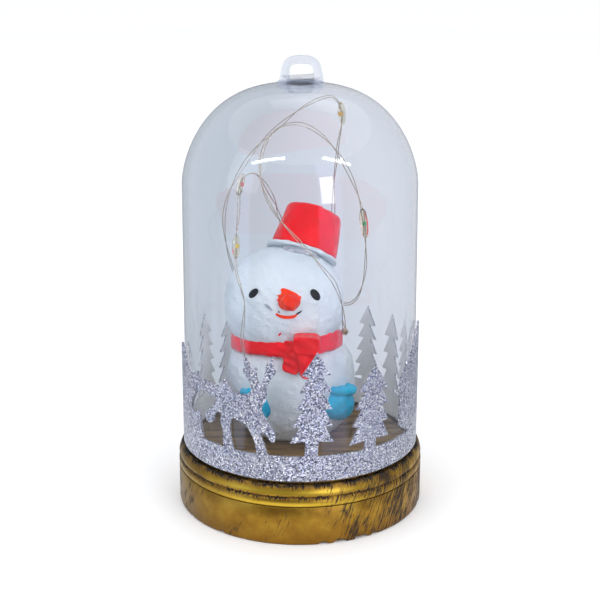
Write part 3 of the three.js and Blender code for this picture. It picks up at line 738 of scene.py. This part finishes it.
bandValues = {
    "inside": 35.32, "outside": 35.92, "bottom": 19.4, "stripTop": 26.9, "seam": 154,
    "ragged": 0.09,  # how far the flakes carry the edges in and out, mm
    "firs": [  # angle round the dome, top, tiers, foot, half width, lean
        (5, 58, 5, 31, 6.4, 0.06), (34, 52, 4, 29.2, 7, 0.07), (106, 53.5, 5, 27.8, 5.2, 0),
        (121, 52.5, 4, 27.8, 5.2, 0), (140.5, 52.5, 5, 27.8, 5.2, 0), (164, 52, 4, 27.8, 5.6, 0),
        (-139, 50, 4, 27.8, 5.8, 0), (-118, 53, 5, 27.8, 5.8, 0)],
    "reindeer": [
        [6, 25.9], [6, 29.5], [4.5, 33], [3, 35.5], [0, 36.6], [-1.8, 36.4], [-2.5, 34.5], [-2.3, 30.5],
        [-1, 25.9], [-5, 25.9], [-5, 32], [-6, 34.4], [-5.6, 37.4], [-7.2, 37], [-8.6, 36], [-8.8, 34],
        [-10, 32.8], [-11.8, 33], [-12.6, 34.5], [-12.2, 36], [-10.2, 37.4], [-8.2, 39.5], [-7.6, 42],
        [-9, 41.4], [-12.5, 42.5], [-17, 41], [-17, 45.6], [-15.2, 45.2], [-11, 45.4], [-7, 45],
        [-5.2, 46], [-4.2, 48.6], [-3, 46.4], [-1.3, 44.6], [2, 44], [4.4, 45.3], [5, 47.4],
        [3.4, 49.5], [2, 51.6], [2.8, 53], [2.2, 56.2], [3.5, 55], [5, 51.8], [6.5, 53.6], [6.3, 50.4],
        [7, 47.8], [8.4, 49.2], [9, 52], [9.4, 55.2], [10, 53.4], [11, 57.6], [11.4, 53.6], [12.2, 52],
        [10.8, 50.2], [9.2, 47.4], [9.4, 43.6], [7.8, 41.8], [7.8, 39.6], [9.4, 37.4], [10.8, 35.6],
        [12, 32.6], [11.5, 31], [10.4, 31.2], [9.6, 32.6], [7, 34.4], [8.4, 30], [10, 25.9]],
    "sleigh": [
        [14.5, 25.9], [13.1, 30.5], [13, 33.5], [12.4, 35.6], [9.6, 33], [7, 34.4], [9, 38], [11.6, 41],
        [11.4, 45.6], [12.4, 47.6], [9.6, 45.8], [7.4, 45], [4.6, 45.2], [2.4, 48.6], [-2, 52],
        [-5.5, 49.6], [-7.5, 46], [-10.5, 47.4], [-11.6, 45], [-8.8, 38], [-10, 34.4], [-13, 32.6],
        [-14, 25.9]],
    "cottage": [
        [14, 25.9], [14, 43.5], [15, 44.6], [7, 52.2], [7, 56], [4.4, 56], [4.4, 54.8], [0.6, 58.4],
        [-13.4, 47.4], [-16.6, 43.6], [-16, 42.6], [-16, 25.9]],
}


def firOutline(values, top, tiers, foot, half, lean):
    # trunk and tiers that narrow upwards
    step = (top - foot) / (tiers + 0.35)
    right = [[1.9, values["stripTop"] - 1], [1.9, foot + 0.6]]
    for i in range(tiers):
        tip = half - i * half * 0.09
        z = foot + i * step
        right += [[tip, z], [max(tip - 2.9, 0.9), z + step]]
    right[-1] = [0, top]
    outline = right + [[-s, z] for s, z in right[-2::-1]]
    return [[s + (z - values["stripTop"]) * lean, z] for s, z in outline]


def raggedLine(outline, amount, rng):
    # the outline in steps of about half a millimetre, each a little off the line
    found = []
    for a, b in zip(outline, outline[1:] + outline[:1]):
        length = math.dist(a, b)
        count = max(1, round(length / 0.55))
        for i in range(count):
            t = i / count
            found.append([a[0] + (b[0] - a[0]) * t + rng.uniform(-amount, amount),
                          a[1] + (b[1] - a[1]) * t + rng.uniform(-amount, amount)])
    return found


def makeBand(values):
    rng = random.Random(5)
    r = values["outside"]
    perDegree = r * math.pi / 180
    seam = values["seam"]
    thick = values["outside"] - values["inside"]
    start, end = (seam - 360 + 0.4) * perDegree, (seam - 0.4) * perDegree
    # the strip sits lower round the back
    low, high, side = values["bottom"] - 0.9, values["bottom"], 95 * perDegree
    strip = [[start, low], [-side - 5, low], [-side, high], [side, high], [side + 5, low], [end, low],
             [end, values["stripTop"]], [start, values["stripTop"]]]
    shapes = []
    for angle, *fir in values["firs"]:
        shapes.append((angle, firOutline(values, *fir)))
    for angle, kind in ((-30, "reindeer"), (-168, "reindeer"), (-75, "sleigh"), (80, "cottage")):
        shapes.append((angle, rounded(values[kind], True)))
    band = slab("band", raggedLine(strip, values["ragged"] * 0.6, rng), thick, -thick)
    for i, (angle, outline) in enumerate(shapes):
        centre = (angle if angle < seam else angle - 360) * perDegree
        line = [[s + centre, z] for s, z in raggedLine(outline, values["ragged"], rng)]
        part = slab(f"shape{i}", line, thick, -thick)
        combine(band, part, "UNION")
    # cut across at even steps, so that it can bend round the dome
    openEdit(band)
    bpy.ops.mesh.quads_convert_to_tris()
    for i in range(1, 120):
        bpy.ops.mesh.select_all(action="SELECT")
        bpy.ops.mesh.bisect(plane_co=((start + (end - start) * i / 120) * mm, 0, 0), plane_no=(1, 0, 0))
    closeEdit()
    band.name = "glitterBand"

    def wrap(co):
        turn = co[:, 0] / r
        out = values["inside"] - co[:, 1]
        return np.column_stack([out * np.sin(turn), -out * np.cos(turn), co[:, 2]])

    reshape(band, wrap)
    band.data.materials.append(glitter)
    band.data.materials.append(filmBack)
    for face in band.data.polygons:
        out = Vector((face.center.x, face.center.y, 0)).normalized()
        face.material_index = 1 if face.normal.dot(out) < -0.7 else 0
    smooth(band, 30)
    return finishPiece(band, "dome", ["glitter_band"])


makeDome(domeValues)
makeLoop()
makeBand(bandValues)
print("dome")


# ---- base ----

baseValues = {
    "cap": [
        [0, 16.6], [32.2, 16.6], [32.2, 14.2], [34, 14.2], [34, 9.6], [35.3, 9.6], [35.3, 11.9],
        [37.1, 11.9], [37.42, 12.2], [37.5, 12.9], [37.45, 13.5], [37.3, 14.1], [36.95, 14.5],
        [36.8, 14.7], [36.95, 14.9], [37.3, 15.15], [37.38, 15.6], [37.2, 16.3], [36.9, 17.1],
        [36.5, 17.9], [36.2, 18.25], [35.9, 18.3], [35.65, 18.0], [35.6, 15.7], [33.4, 15.7],
        [33.4, 17.9], [33.1, 18.2], [24, 18.2], [12, 18.2], [0, 18.2]],
    "skirt": [
        [35.6, 0], [36.9, 0], [37.2, 0.12], [37.42, 0.45], [37.5, 1.0], [37.48, 6.0], [37.46, 11.65],
        [37.38, 11.78], [35.8, 11.78], [35.6, 11.6], [35.6, 5.4], [33, 5.4], [33, 3.9], [35.6, 3.9],
        [35.6, 0]],
    "chips": [  # angle, width and depth of the chips in the bottom edge, mm
        (10.5, 1.3, 0.8), (16.5, 0.9, 0.5), (18.5, 1.8, 1.3), (27, 1.0, 0.9), (30, 1.3, 1.1),
        (36, 1.0, 0.7), (-38, 1.3, 0.5), (-60, 1.0, 0.4), (75, 1.2, 0.6), (120, 1.1, 0.5),
        (171, 1.4, 0.6), (-140, 1.0, 0.5)],
}


def makeBase(values):
    cap = turned("baseCap", values["cap"], 160)
    smooth(cap, 35)
    finishPiece(cap, "base", ["base_cap"], goldPaint)
    skirt = turned("baseSkirt", values["skirt"], 400)

    def chip(co):
        angle = np.degrees(np.arctan2(co[:, 0], -co[:, 1]))
        radius = np.hypot(co[:, 0], co[:, 1])
        low = np.clip(1 - co[:, 2] / 1.2, 0, 1) * (radius > 36)
        for at, width, depth in values["chips"]:
            away = (angle - at) / math.degrees(width / baseR)
            bite = np.clip(1 - away ** 2, 0, 1) * depth * low
            co[:, 2] += bite
            co[:, :2] *= (1 - bite * 0.5 / np.maximum(radius, 1))[:, None]
        return co

    reshape(skirt, chip)
    smooth(skirt, 35)
    finishPiece(skirt, "base", ["base_skirt"], goldPaint)


screwValues = {"head": 2.2, "shank": 1.0, "length": 9.0, "slot": 0.5}


def makeScrew(name, at, values, low, body, node):
    # pan-head screw with a cross recess, its head downwards
    h, s, n = values["head"], values["shank"], values["length"]
    obj = turned(name, [[0, low], [h * 0.7, low + 0.02], [h * 0.93, low + 0.15], [h, low + 0.4],
                        [h, low + 0.75], [s + 0.15, low + 0.85], [s, low + 1.0],
                        [s, low + n - 1.2], [0.1, low + n - 0.1], [0, low + n]], 40)
    arm = h * 1.25
    for turn in (0, 1):
        size = (arm, values["slot"], 1.4) if turn else (values["slot"], arm, 1.4)
        combine(obj, block(size, (0, 0, low)), "DIFFERENCE")
    obj.location = (at[0] * mm, at[1] * mm, 0)
    place(obj)
    smooth(obj, 30)
    return finishPiece(obj, body, [node], zincSteel)


def dressNode(name, material):
    for slot in nodes[name].material_slots:
        slot.material = material


makeBase(baseValues)
for i, angle in enumerate((-90, 30, 150)):
    turn = math.radians(angle)
    makeScrew(f"plateScrew{i + 1}", (29 * math.cos(turn), 29 * math.sin(turn)), screwValues, 2.0, "base",
              f"plate_screw_{i + 1}")
makeScrew("doorScrew", (14.6, 9), {"head": 1.9, "shank": 0.8, "length": 6.0, "slot": 0.45}, 1.9,
          "door_screw", "battery_door_screw")
for name, finish in {
    "bottom_plate": blackPlastic, "battery_door": blackPlastic, "switch_body": blackPlastic,
    "switch_slider": blackPlastic, "button_cell_1": cellSteel, "button_cell_2": cellSteel,
    "button_cell_3": cellSteel, "positive_contact": brassStrip, "negative_spring": zincSteel,
    "switch_lead": silverWire, "string_lead_positive": silverWire, "string_lead_negative": silverWire,
    "wire_glue_plug": hotMelt,
}.items():
    dressNode(name, finish)
print("base")


# ---- snowman ----

snowmanValues = {
    "belly": [
        [0, 18.5], [12.2, 18.5], [16.9, 22.8], [19.6, 28], [20.2, 34], [19.8, 40], [18.6, 44.4],
        [16.2, 47.6], [12, 50], [0, 51]],
    "head": [
        [0, 46], [12.5, 47], [16.4, 50.6], [18.2, 56], [18.45, 61.5], [17.3, 67.4], [14, 72.8],
        [8.6, 76.5], [0, 77.8]],
    "bellyAt": (-2.85, 5), "headAt": (-4.85, 5), "depth": 0.92,
    "eyes": [  # place across and up, half width, half height, tilt in degrees
        (-13.65, 67.3, 1.1, 1.8, 42), (4.52, 66.8, 1.3, 2.0, -36)],
    "mouth": [[-7.1, 62.1], [-6.4, 61.6], [-5.2, 61.1], [-3.7, 60.9], [-2, 61.05], [-1.1, 61.5],
              [-0.5, 62]],
    "marks": [  # name, a line of [across, up] places, the stroke's widths along it, finish, slot, thickness
        ("mouthEnd", [[-1.1, 61.7], [-0.25, 62.15], [0.5, 62.7]], [0.4, 0.5, 0.2],
         blackEnamel, "black_plastic", 0.12),
        ("mouthFleck", [[-6.3, 62.9], [-6.15, 62.6], [-6, 62.3]], [0.2, 0.4, 0.2],
         blackEnamel, "black_plastic", 0.1),
        ("cheekFleck", [[-10.3, 64.6], [-9.5, 64.05], [-8.7, 63.5], [-8, 62.9]], [0.3, 0.9, 0.6, 0.2],
         silverGlue, "black_plastic", 0.06),
        ("chinSpeck", [[-6.3, 55.2], [-5.95, 55.6], [-5.5, 56.1]], [0.4, 0.55, 0.2],
         redEnamel, "red_paint", 0.1)],
}


def makeBody(values):
    belly = turned("belly", values["belly"], 64)
    head = turned("head", values["head"], 64)
    for part, at in ((belly, values["bellyAt"]), (head, values["headAt"])):
        addModifier(part, "SUBSURF", levels=2, render_levels=2)
        reshape(part, lambda co: co * (1, values["depth"], 1) + (at[0], at[1], 0))
    body = cast("snowmanCasting", [belly, head], 0.55, 5)

    def rims(co):
        # a raised ring round each eye
        for x, z, *_ in values["eyes"]:
            away = np.hypot(co[:, 0] - x, co[:, 2] - z)
            lift = 0.32 * np.exp(-((away - 2.45) / 0.45) ** 2) * (co[:, 1] < 0)
            co[:, 1] -= lift
        return co

    reshape(body, rims)
    swell(body, 9, 0.16, 1)
    swell(body, 3.2, 0.13, 2)
    smooth(body, 180)
    return finishPiece(body, "base", ["snowman_body"], whiteResin)


def skinOf(obj):
    mesh = obj.data
    return BVHTree.FromPolygons([v.co.copy() for v in mesh.vertices],
                                [tuple(p.vertices) for p in mesh.polygons])


def lay(obj, skin, lift):
    # lays a flat piece back onto a skin, and lifts it by a thickness in millimetres
    for v in obj.data.vertices:
        hit, normal, _, _ = skin.ray_cast(Vector((v.co.x, -0.05, v.co.z)), Vector((0, 1, 0)))
        if hit:
            v.co = hit + normal * lift * mm
    obj.data.update()
    return obj


def paintPatch(name, outline, skin, material, lift=0.07, step=0.35):
    # a film of paint with an outline of [x, z] pairs
    obj = newMesh(name, [(x, 0, z) for x, z in outline], faces=[list(range(len(outline)))])
    openEdit(obj)
    bpy.ops.mesh.quads_convert_to_tris()
    closeEdit()
    xs, zs = [p[0] for p in outline], [p[1] for p in outline]
    openEdit(obj)
    for low, high, way in ((min(xs), max(xs), (1, 0, 0)), (min(zs), max(zs), (0, 0, 1))):
        count = max(1, int((high - low) / step))
        for i in range(1, count):
            at = low + (high - low) * i / count
            bpy.ops.mesh.select_all(action="SELECT")
            bpy.ops.mesh.bisect(plane_co=tuple(w * at * mm for w in way), plane_no=way)
    bpy.ops.mesh.select_all(action="SELECT")
    bpy.ops.mesh.remove_doubles(threshold=1e-6)
    closeEdit()
    lay(obj, skin, lift)
    addModifier(obj, "SOLIDIFY", thickness=0.14 * mm, offset=-1)
    smooth(obj, 50)
    return finishPiece(obj, "base", (), material)


def makeEye(index, eye, skin):
    # a domed bead of black paint in a shallow socket
    x, z, wide, tall, tilt = eye
    obj = ball(f"eye{index}", (0, 0, 0), (wide, 0.5, tall), 24, 16)
    hit, normal, _, _ = skin.ray_cast(Vector((x * mm, -0.05, z * mm)), Vector((0, 1, 0)))
    turn = Vector((-normal.x, -normal.y, -normal.z)).to_track_quat("Y", "Z").to_matrix().to_4x4()
    obj.matrix_world = Matrix.Translation(hit) @ turn @ Matrix.Rotation(math.radians(tilt), 4, "Y")
    place(obj)
    smooth(obj, 180)
    return finishPiece(obj, "base", (), blackEnamel)


def strokeOutline(points, widths):
    # a brush stroke round a line of [x, z] points
    line = [Vector(p) for p in points]
    left, right = [], []
    for i, p in enumerate(line):
        way = (line[min(i + 1, len(line) - 1)] - line[max(i - 1, 0)]).normalized()
        across = Vector((-way.y, way.x)) * widths[i] / 2
        left.append(list(p + across))
        right.append(list(p - across))
    return left + right[::-1]


def makeFace(values, skin):
    for i, eye in enumerate(values["eyes"]):
        makeEye(i + 1, eye, skin)
    mouth = rounded([list(p) for p in values["mouth"]], False, 2)
    widths = [0.35 + 0.6 * math.sin(math.pi * min(i / (len(mouth) - 1) * 1.05, 1)) ** 0.5
              for i in range(len(mouth))]
    paintPatch("mouthLine", strokeOutline(mouth, widths), skin, orangeEnamel, 0.1)
    for name, line, widths, finish, slotName, lift in values["marks"]:
        paintPatch(name, strokeOutline(line, widths), skin, finish, lift)


hatValues = {"at": (1, 12.2, 74.3), "back": -27, "roll": 18, "bottomR": 10.3, "topR": 8.6, "height": 13.8,
             "glueAt": (-1.2, -9.6, -2.3), "glueHalf": (6.0, 1.6, 1.7)}


def makeHat(values):
    b, t, h = values["bottomR"], values["topR"], values["height"]
    bucket = turned("hatBucket",
                    [[0, 0.1], [b - 0.5, 0.1], [b, 0.5], [b - 0.2, 3.2], [(b + t) / 2 + 0.25, h * 0.5],
                                  [t + 0.35, h - 2.2], [t - 0.1, h - 0.9], [t - 1.0, h - 0.25],
                                  [t - 2.6, h], [0, h + 0.05]], 72)
    addModifier(bucket, "SUBSURF", levels=2, render_levels=2)
    swell(bucket, 9, 0.22, 3)
    swell(bucket, 3, 0.06, 4)
    brim = turned("hatBrim",
                  [[6, -0.5], [10.3, -0.4], [11.1, -0.15], [11.4, 0.3], [11.2, 0.75], [10.5, 1.1],
                              [9.3, 1.2], [6, 1.1], [6, -0.5]], 96)
    addModifier(brim, "SUBSURF", levels=1, render_levels=1)
    swell(brim, 5, 0.16, 5)
    reshape(brim, lambda co: co + (-0.4, 0, -0.9))
    # a bead of glue that fills the gap under the front of the brim
    glue = ball("hatGlue", values["glueAt"], values["glueHalf"])
    reshape(glue, lambda co: co + np.column_stack([0 * co[:, 0], co[:, 0] ** 2 * 0.05, 0 * co[:, 0]]))
    addModifier(glue, "REMESH", mode="VOXEL", voxel_size=0.22 * mm)
    addModifier(glue, "SMOOTH", factor=0.5, iterations=4)
    swell(glue, 2.4, 0.22, 6)
    for obj, slotName, material, replaced in ((bucket, "red_paint", redEnamel, ["snowman_hat"]),
                                              (brim, "plaster", whiteResin, []),
                                              (glue, "glue", silverGlue, [])):
        seat(obj, values["at"], (values["roll"], "Y"), (values["back"], "X"))
        smooth(obj, 60)
        finishPiece(obj, "base", replaced, material)


scarfValues = {
    "at": (-4.1, 5, 48.7), "half": (17.3, 16.3), "height": 5.2, "back": -14, "roll": -1.4,
    # the knot is a flat fold of cloth; outlines of [across, up] pairs
    "fold": [
        [-2.1, 55.2], [-1.2, 55.8], [3.2, 55.9], [5.4, 55.4], [6.1, 54.6], [6.2, 50.9], [5.2, 50.3],
        [2.4, 50.6], [-0.8, 50.6], [-2, 51.6]],
    "leftTail": [
        [-4, 49.8], [-5.2, 48.6], [-4.7, 47.4], [-5.4, 45.8], [-4.7, 44.5], [-3, 44], [-0.6, 43.7],
        [-0.1, 46.5], [0, 50.6], [-2.4, 51.4]],
    "rightTail": [
        [-1.6, 53.6], [-1, 50.4], [-0.4, 46.5], [0.1, 43.7], [0.8, 43.3], [2.5, 46.4], [5.4, 50],
        [6.1, 51.4], [5.8, 54.5], [3.4, 55.5]],
}


def makeScarf(values):
    rx, ry = values["half"]
    h = values["height"] / 2
    band = turned("scarfBand", [[12, -h], [rx - 0.9, -h], [rx - 0.15, -h + 0.5], [rx, -h / 2], [rx, h / 2],
                                [rx - 0.15, h - 0.5], [rx - 0.9, h], [12, h], [12, -h]], 160)
    reshape(band, lambda co: co * (1, ry / rx, 1))
    reshape(band, lambda co: co * np.column_stack([  # taller in front than at the sides
        np.ones(len(co)), np.ones(len(co)), 1 + 0.6 * np.clip(-co[:, 1] / ry, 0, 1)]))
    reshape(band, lambda co: co + np.column_stack([
        0 * co[:, 0], 0 * co[:, 0], wavy(co, 16, 0.3, 8) + (co[:, 2] > 0) * wavy(co, 6, 0.18, 9)]))
    seat(band, values["at"], (values["roll"], "Y"), (values["back"], "X"))
    fold = slab("fold", rounded(values["fold"], True, 1), 5, -15.6)
    left = slab("leftTail", rounded(values["leftTail"], True, 1), 2.6, -13.6)
    right = slab("rightTail", rounded(values["rightTail"], True, 1), 2.4, -15.0)
    scarf = cast("scarf", [band, fold, left, right], 0.3, 3)

    def folds(co):
        # creases that run from the knot into the band, and slanting down the fold
        near = np.exp(-((co[:, 0] + 3.6) / 2.2) ** 2) * (co[:, 1] < -6)
        co[:, 1] += near * 0.35 * np.sin((co[:, 2] + co[:, 0] * 0.5) * 2.3)
        front = (co[:, 1] < -12.5) * np.exp(-((co[:, 0] - 1.5) / 4.5) ** 2)
        co[:, 1] += front * 0.2 * np.sin(co[:, 0] * 0.9 + co[:, 2] * 1.0)
        return co

    reshape(scarf, folds)
    swell(scarf, 4, 0.14, 10)
    swell(scarf, 1.7, 0.05, 11)
    smooth(scarf, 180)
    return finishPiece(scarf, "base", ["snowman_scarf"], redEnamel)


noseValues = {
    "at": (-3.1, -12.3, 65.6), "half": (2.9, 2.4, 2.6), "tipAt": (-3.0, -14.2, 65.4),
    "tipHalf": (1.9, 1.6, 1.7),
    "edge": [  # where the paint has run over the face
        [-5.4, 69.1], [-4.5, 69.2], [-2.6, 68.5], [-1.1, 67.7], [-0.4, 66.95], [0.5, 66.6], [0, 66.1],
        [0.1, 65.05], [-0.5, 63.8], [-1.8, 63.05], [-3.3, 62.8], [-5, 63.2], [-6, 64.1], [-6.35, 65.2],
        [-6.3, 65.7], [-6.9, 65.9], [-6.4, 66.3], [-6.1, 66.7], [-6.7, 67.5], [-6, 67.35], [-5.3, 67.8],
        [-5.6, 68.6]],
}


def makeNose(values, skin):
    # a short carrot nose, thick with paint, whose edge has run in points over the face
    nose = ball("nose", values["at"], values["half"], 40, 28)
    tip = ball("noseTip", values["tipAt"], values["tipHalf"], 24, 16)
    whole = cast("carrotNose", [nose, tip], 0.25, 8)
    swell(whole, 2.6, 0.22, 12)
    swell(whole, 1.1, 0.08, 13)
    smooth(whole, 180)
    finishPiece(whole, "base", ["snowman_nose"], orangeEnamel)
    edge = rounded([list(p) for p in values["edge"]], True, 1)
    paintPatch("noseEdge", edge, skin, orangeEnamel, 0.2, 0.28)


mittenValues = {
    "right": {"at": (12.3, -7.4, 32.2), "turn": 8, "spin": 30},
    "left": {"at": (-12.6, -9.8, 32.8), "turn": -14, "spin": -26},
}


def makeMitten(side, values):
    hand = ball("hand" + side, (-0.4, 0, -0.3), (5.2, 3.0, 5.0), 40, 28)
    thumb = ball("thumb" + side, (-2.9 if side == "right" else 2.9, -0.4, 1.0), (1.5, 1.6, 2.3), 24, 16)
    bpy.ops.object.select_all(action="DESELECT")
    bpy.ops.mesh.primitive_torus_add(major_radius=3.7 * mm, minor_radius=1.15 * mm, major_segments=48,
                                     minor_segments=16)
    cuff = bpy.context.active_object
    cuff.scale = (1.0, 0.66, 1.1)
    cuff.location = (0, 0, 4.6 * mm)
    place(cuff)
    plug = ball("plug" + side, (0, 0, 4.4), (3.6, 2.3, 1.3), 24, 12)
    mitten = cast("mitten" + side.title(), [hand, thumb, cuff, plug], 0.28, 3)
    swell(mitten, 4, 0.18, 14)
    swell(mitten, 1.6, 0.05, 15)
    seat(mitten, values["at"], (values["spin"], "Z"), (values["turn"], "Y"))
    smooth(mitten, 180)
    return finishPiece(mitten, "base", ["mitten_" + side], blueEnamel)


body = makeBody(snowmanValues)
bodySkin = skinOf(body)
makeFace(snowmanValues, bodySkin)
makeHat(hatValues)
scarf = makeScarf(scarfValues)
makeNose(noseValues, bodySkin)
for side, values in mittenValues.items():
    makeMitten(side, values)
paintPatch("scarfDrip", strokeOutline([[0.4, 43.2], [0.9, 42.4], [1.9, 42.0], [2.9, 41.9], [3.6, 41.5]],
                                      [0.7, 0.55, 0.4, 0.35, 0.25]), bodySkin, redEnamel, 0.14)
print("snowman")


# ---- studio ----

studioValues = {
    "floor": "FAFAFA",
    "world": ("FAFBFD", 1.07),
    "softLamps": [  # place, size across and up, watts; kept out of the reflections
        ((-1.0, -0.6, 0.6), 0.8, 0.8, 2.9),
        ((0.6, -0.95, 0.8), 0.6, 0.6, 0.5),
        ((0.1, 0.7, 1.3), 0.9, 0.6, 1.2)],
    "barLamps": [  # turn and rise of the two ends in degrees, distance, width, watts
        ((-56, 32), (-19, 44), 1.2, 0.045, 1.0),
        ((28, 43), (58, 30), 1.2, 0.045, 0.8),
        ((49.3, 37.4), (50.7, 36.6), 1.2, 0.035, 0.8),
        ((27, -5), (27, 25), 1.1, 0.25, 2.2)],
    "around": [  # what clear parts mirror: share of a full turn from the back, colour
        (0.0, "6C6F74"), (0.29, "6C6F74"), (0.33, "A0B0D0"), (0.365, "A0B0D0"), (0.375, "06070A"),
        (0.545, "06070A"), (0.55, "8894C4"), (0.605, "8894C4"), (0.615, "20222A"), (0.66, "636870"),
        (1.0, "6C6F74")],
    # the backdrop glow darkens from right to left: a painted shade seen through the clear parts
    "behind": [  # what shows through clear parts, from left to right over 120 mm
        (0.0, "D0D8E0"), (0.5, "E2E6F0"), (1.0, "F0F3FA")],
}


def addLamp(name, across, up, watts):
    data = bpy.data.lights.new(name, "AREA")
    data.shape = "RECTANGLE"
    data.size = across
    data.size_y = up
    data.energy = watts
    lamp = bpy.data.objects.new(name, data)
    bpy.context.scene.collection.objects.link(lamp)
    return lamp


def toward(turn, rise):
    # a direction from the middle of the dome; turn 0 is the front
    a, b = math.radians(turn), math.radians(rise)
    return Vector((math.sin(a) * math.cos(b), -math.cos(a) * math.cos(b), math.sin(b)))


def makeCard(name, profile, start, stops, rays):
    # a glowing card round the object that lights nothing: only the named kind of ray meets it
    card = turned(name, profile, 96)
    material, tree, _ = newFinish(name + "Paint", "FFFFFF", 0.9)
    apart = addNode(tree, "SeparateXYZ", {0: addNode(tree, "TexCoord").outputs["Object"]})
    if start == "turn":
        back = times(tree, apart.outputs[1], -1.0)
        source, half = mathNode(tree, "ARCTAN2", apart.outputs[0], back), math.pi
    else:
        source, half = apart.outputs[0], 0.06
    share = remap(tree, source, -half, half)
    glow = addNode(tree, "Emission", {0: ramp(tree, share, stops)})
    glow.inputs[1].default_value = 3.0 if rays == "mirrored" else 1.0
    tree.links.new(glow.outputs[0], tree.nodes["Material Output"].inputs[0])
    card.data.materials.append(material)
    card.visible_camera = False
    card.visible_diffuse = False
    card.visible_shadow = False
    card.visible_glossy = rays == "mirrored"
    card.visible_transmission = rays == "through"


def makeStudio(values):
    bpy.ops.object.select_all(action="DESELECT")
    bpy.ops.mesh.primitive_plane_add(size=24)
    floor = bpy.context.active_object
    floor.name = "studioFloor"
    material, _, _ = newFinish("paleStudioPaper", values["floor"], 0.9)
    floor.data.materials.append(material)
    world = bpy.data.worlds.new("studioLight")
    world.use_nodes = True
    sky = world.node_tree.nodes["Background"]
    sky.inputs[0].default_value = colour(values["world"][0])
    sky.inputs[1].default_value = values["world"][1]
    bpy.context.scene.world = world
    for i, (at, across, up, watts) in enumerate(values["softLamps"]):
        lamp = addLamp(f"softLamp{i + 1}", across, up, watts)
        lamp.location = at
        lamp.rotation_euler = (Vector(at) - Vector((0, 0, 0.06))).to_track_quat("Z", "Y").to_euler()
        lamp.visible_glossy = False
    middle = Vector((0, -0.03, 0.105))
    for i, (first, last, far, width, watts) in enumerate(values["barLamps"]):
        a, b = toward(*first) * far, toward(*last) * far
        along = (b - a).normalized()
        back = ((a + b) / 2).normalized()
        lamp = addLamp(f"barLamp{i + 1}", (b - a).length, width, watts)
        turn = Matrix((along, back.cross(along), back)).transposed().to_4x4()
        lamp.matrix_world = Matrix.Translation(middle + (a + b) / 2) @ turn
    makeCard("surroundCard", [[85, 0.5], [1600, 0.5], [1600, 1300]], "turn", values["around"], "mirrored")
    makeCard("backdropCard", [[38.5, 0.4], [1500, 0.4], [1500, 1400], [0, 1400]], "across",
             values["behind"], "through")


makeStudio(studioValues)
bpy.context.scene.view_settings.view_transform = "Standard"
print("studio")
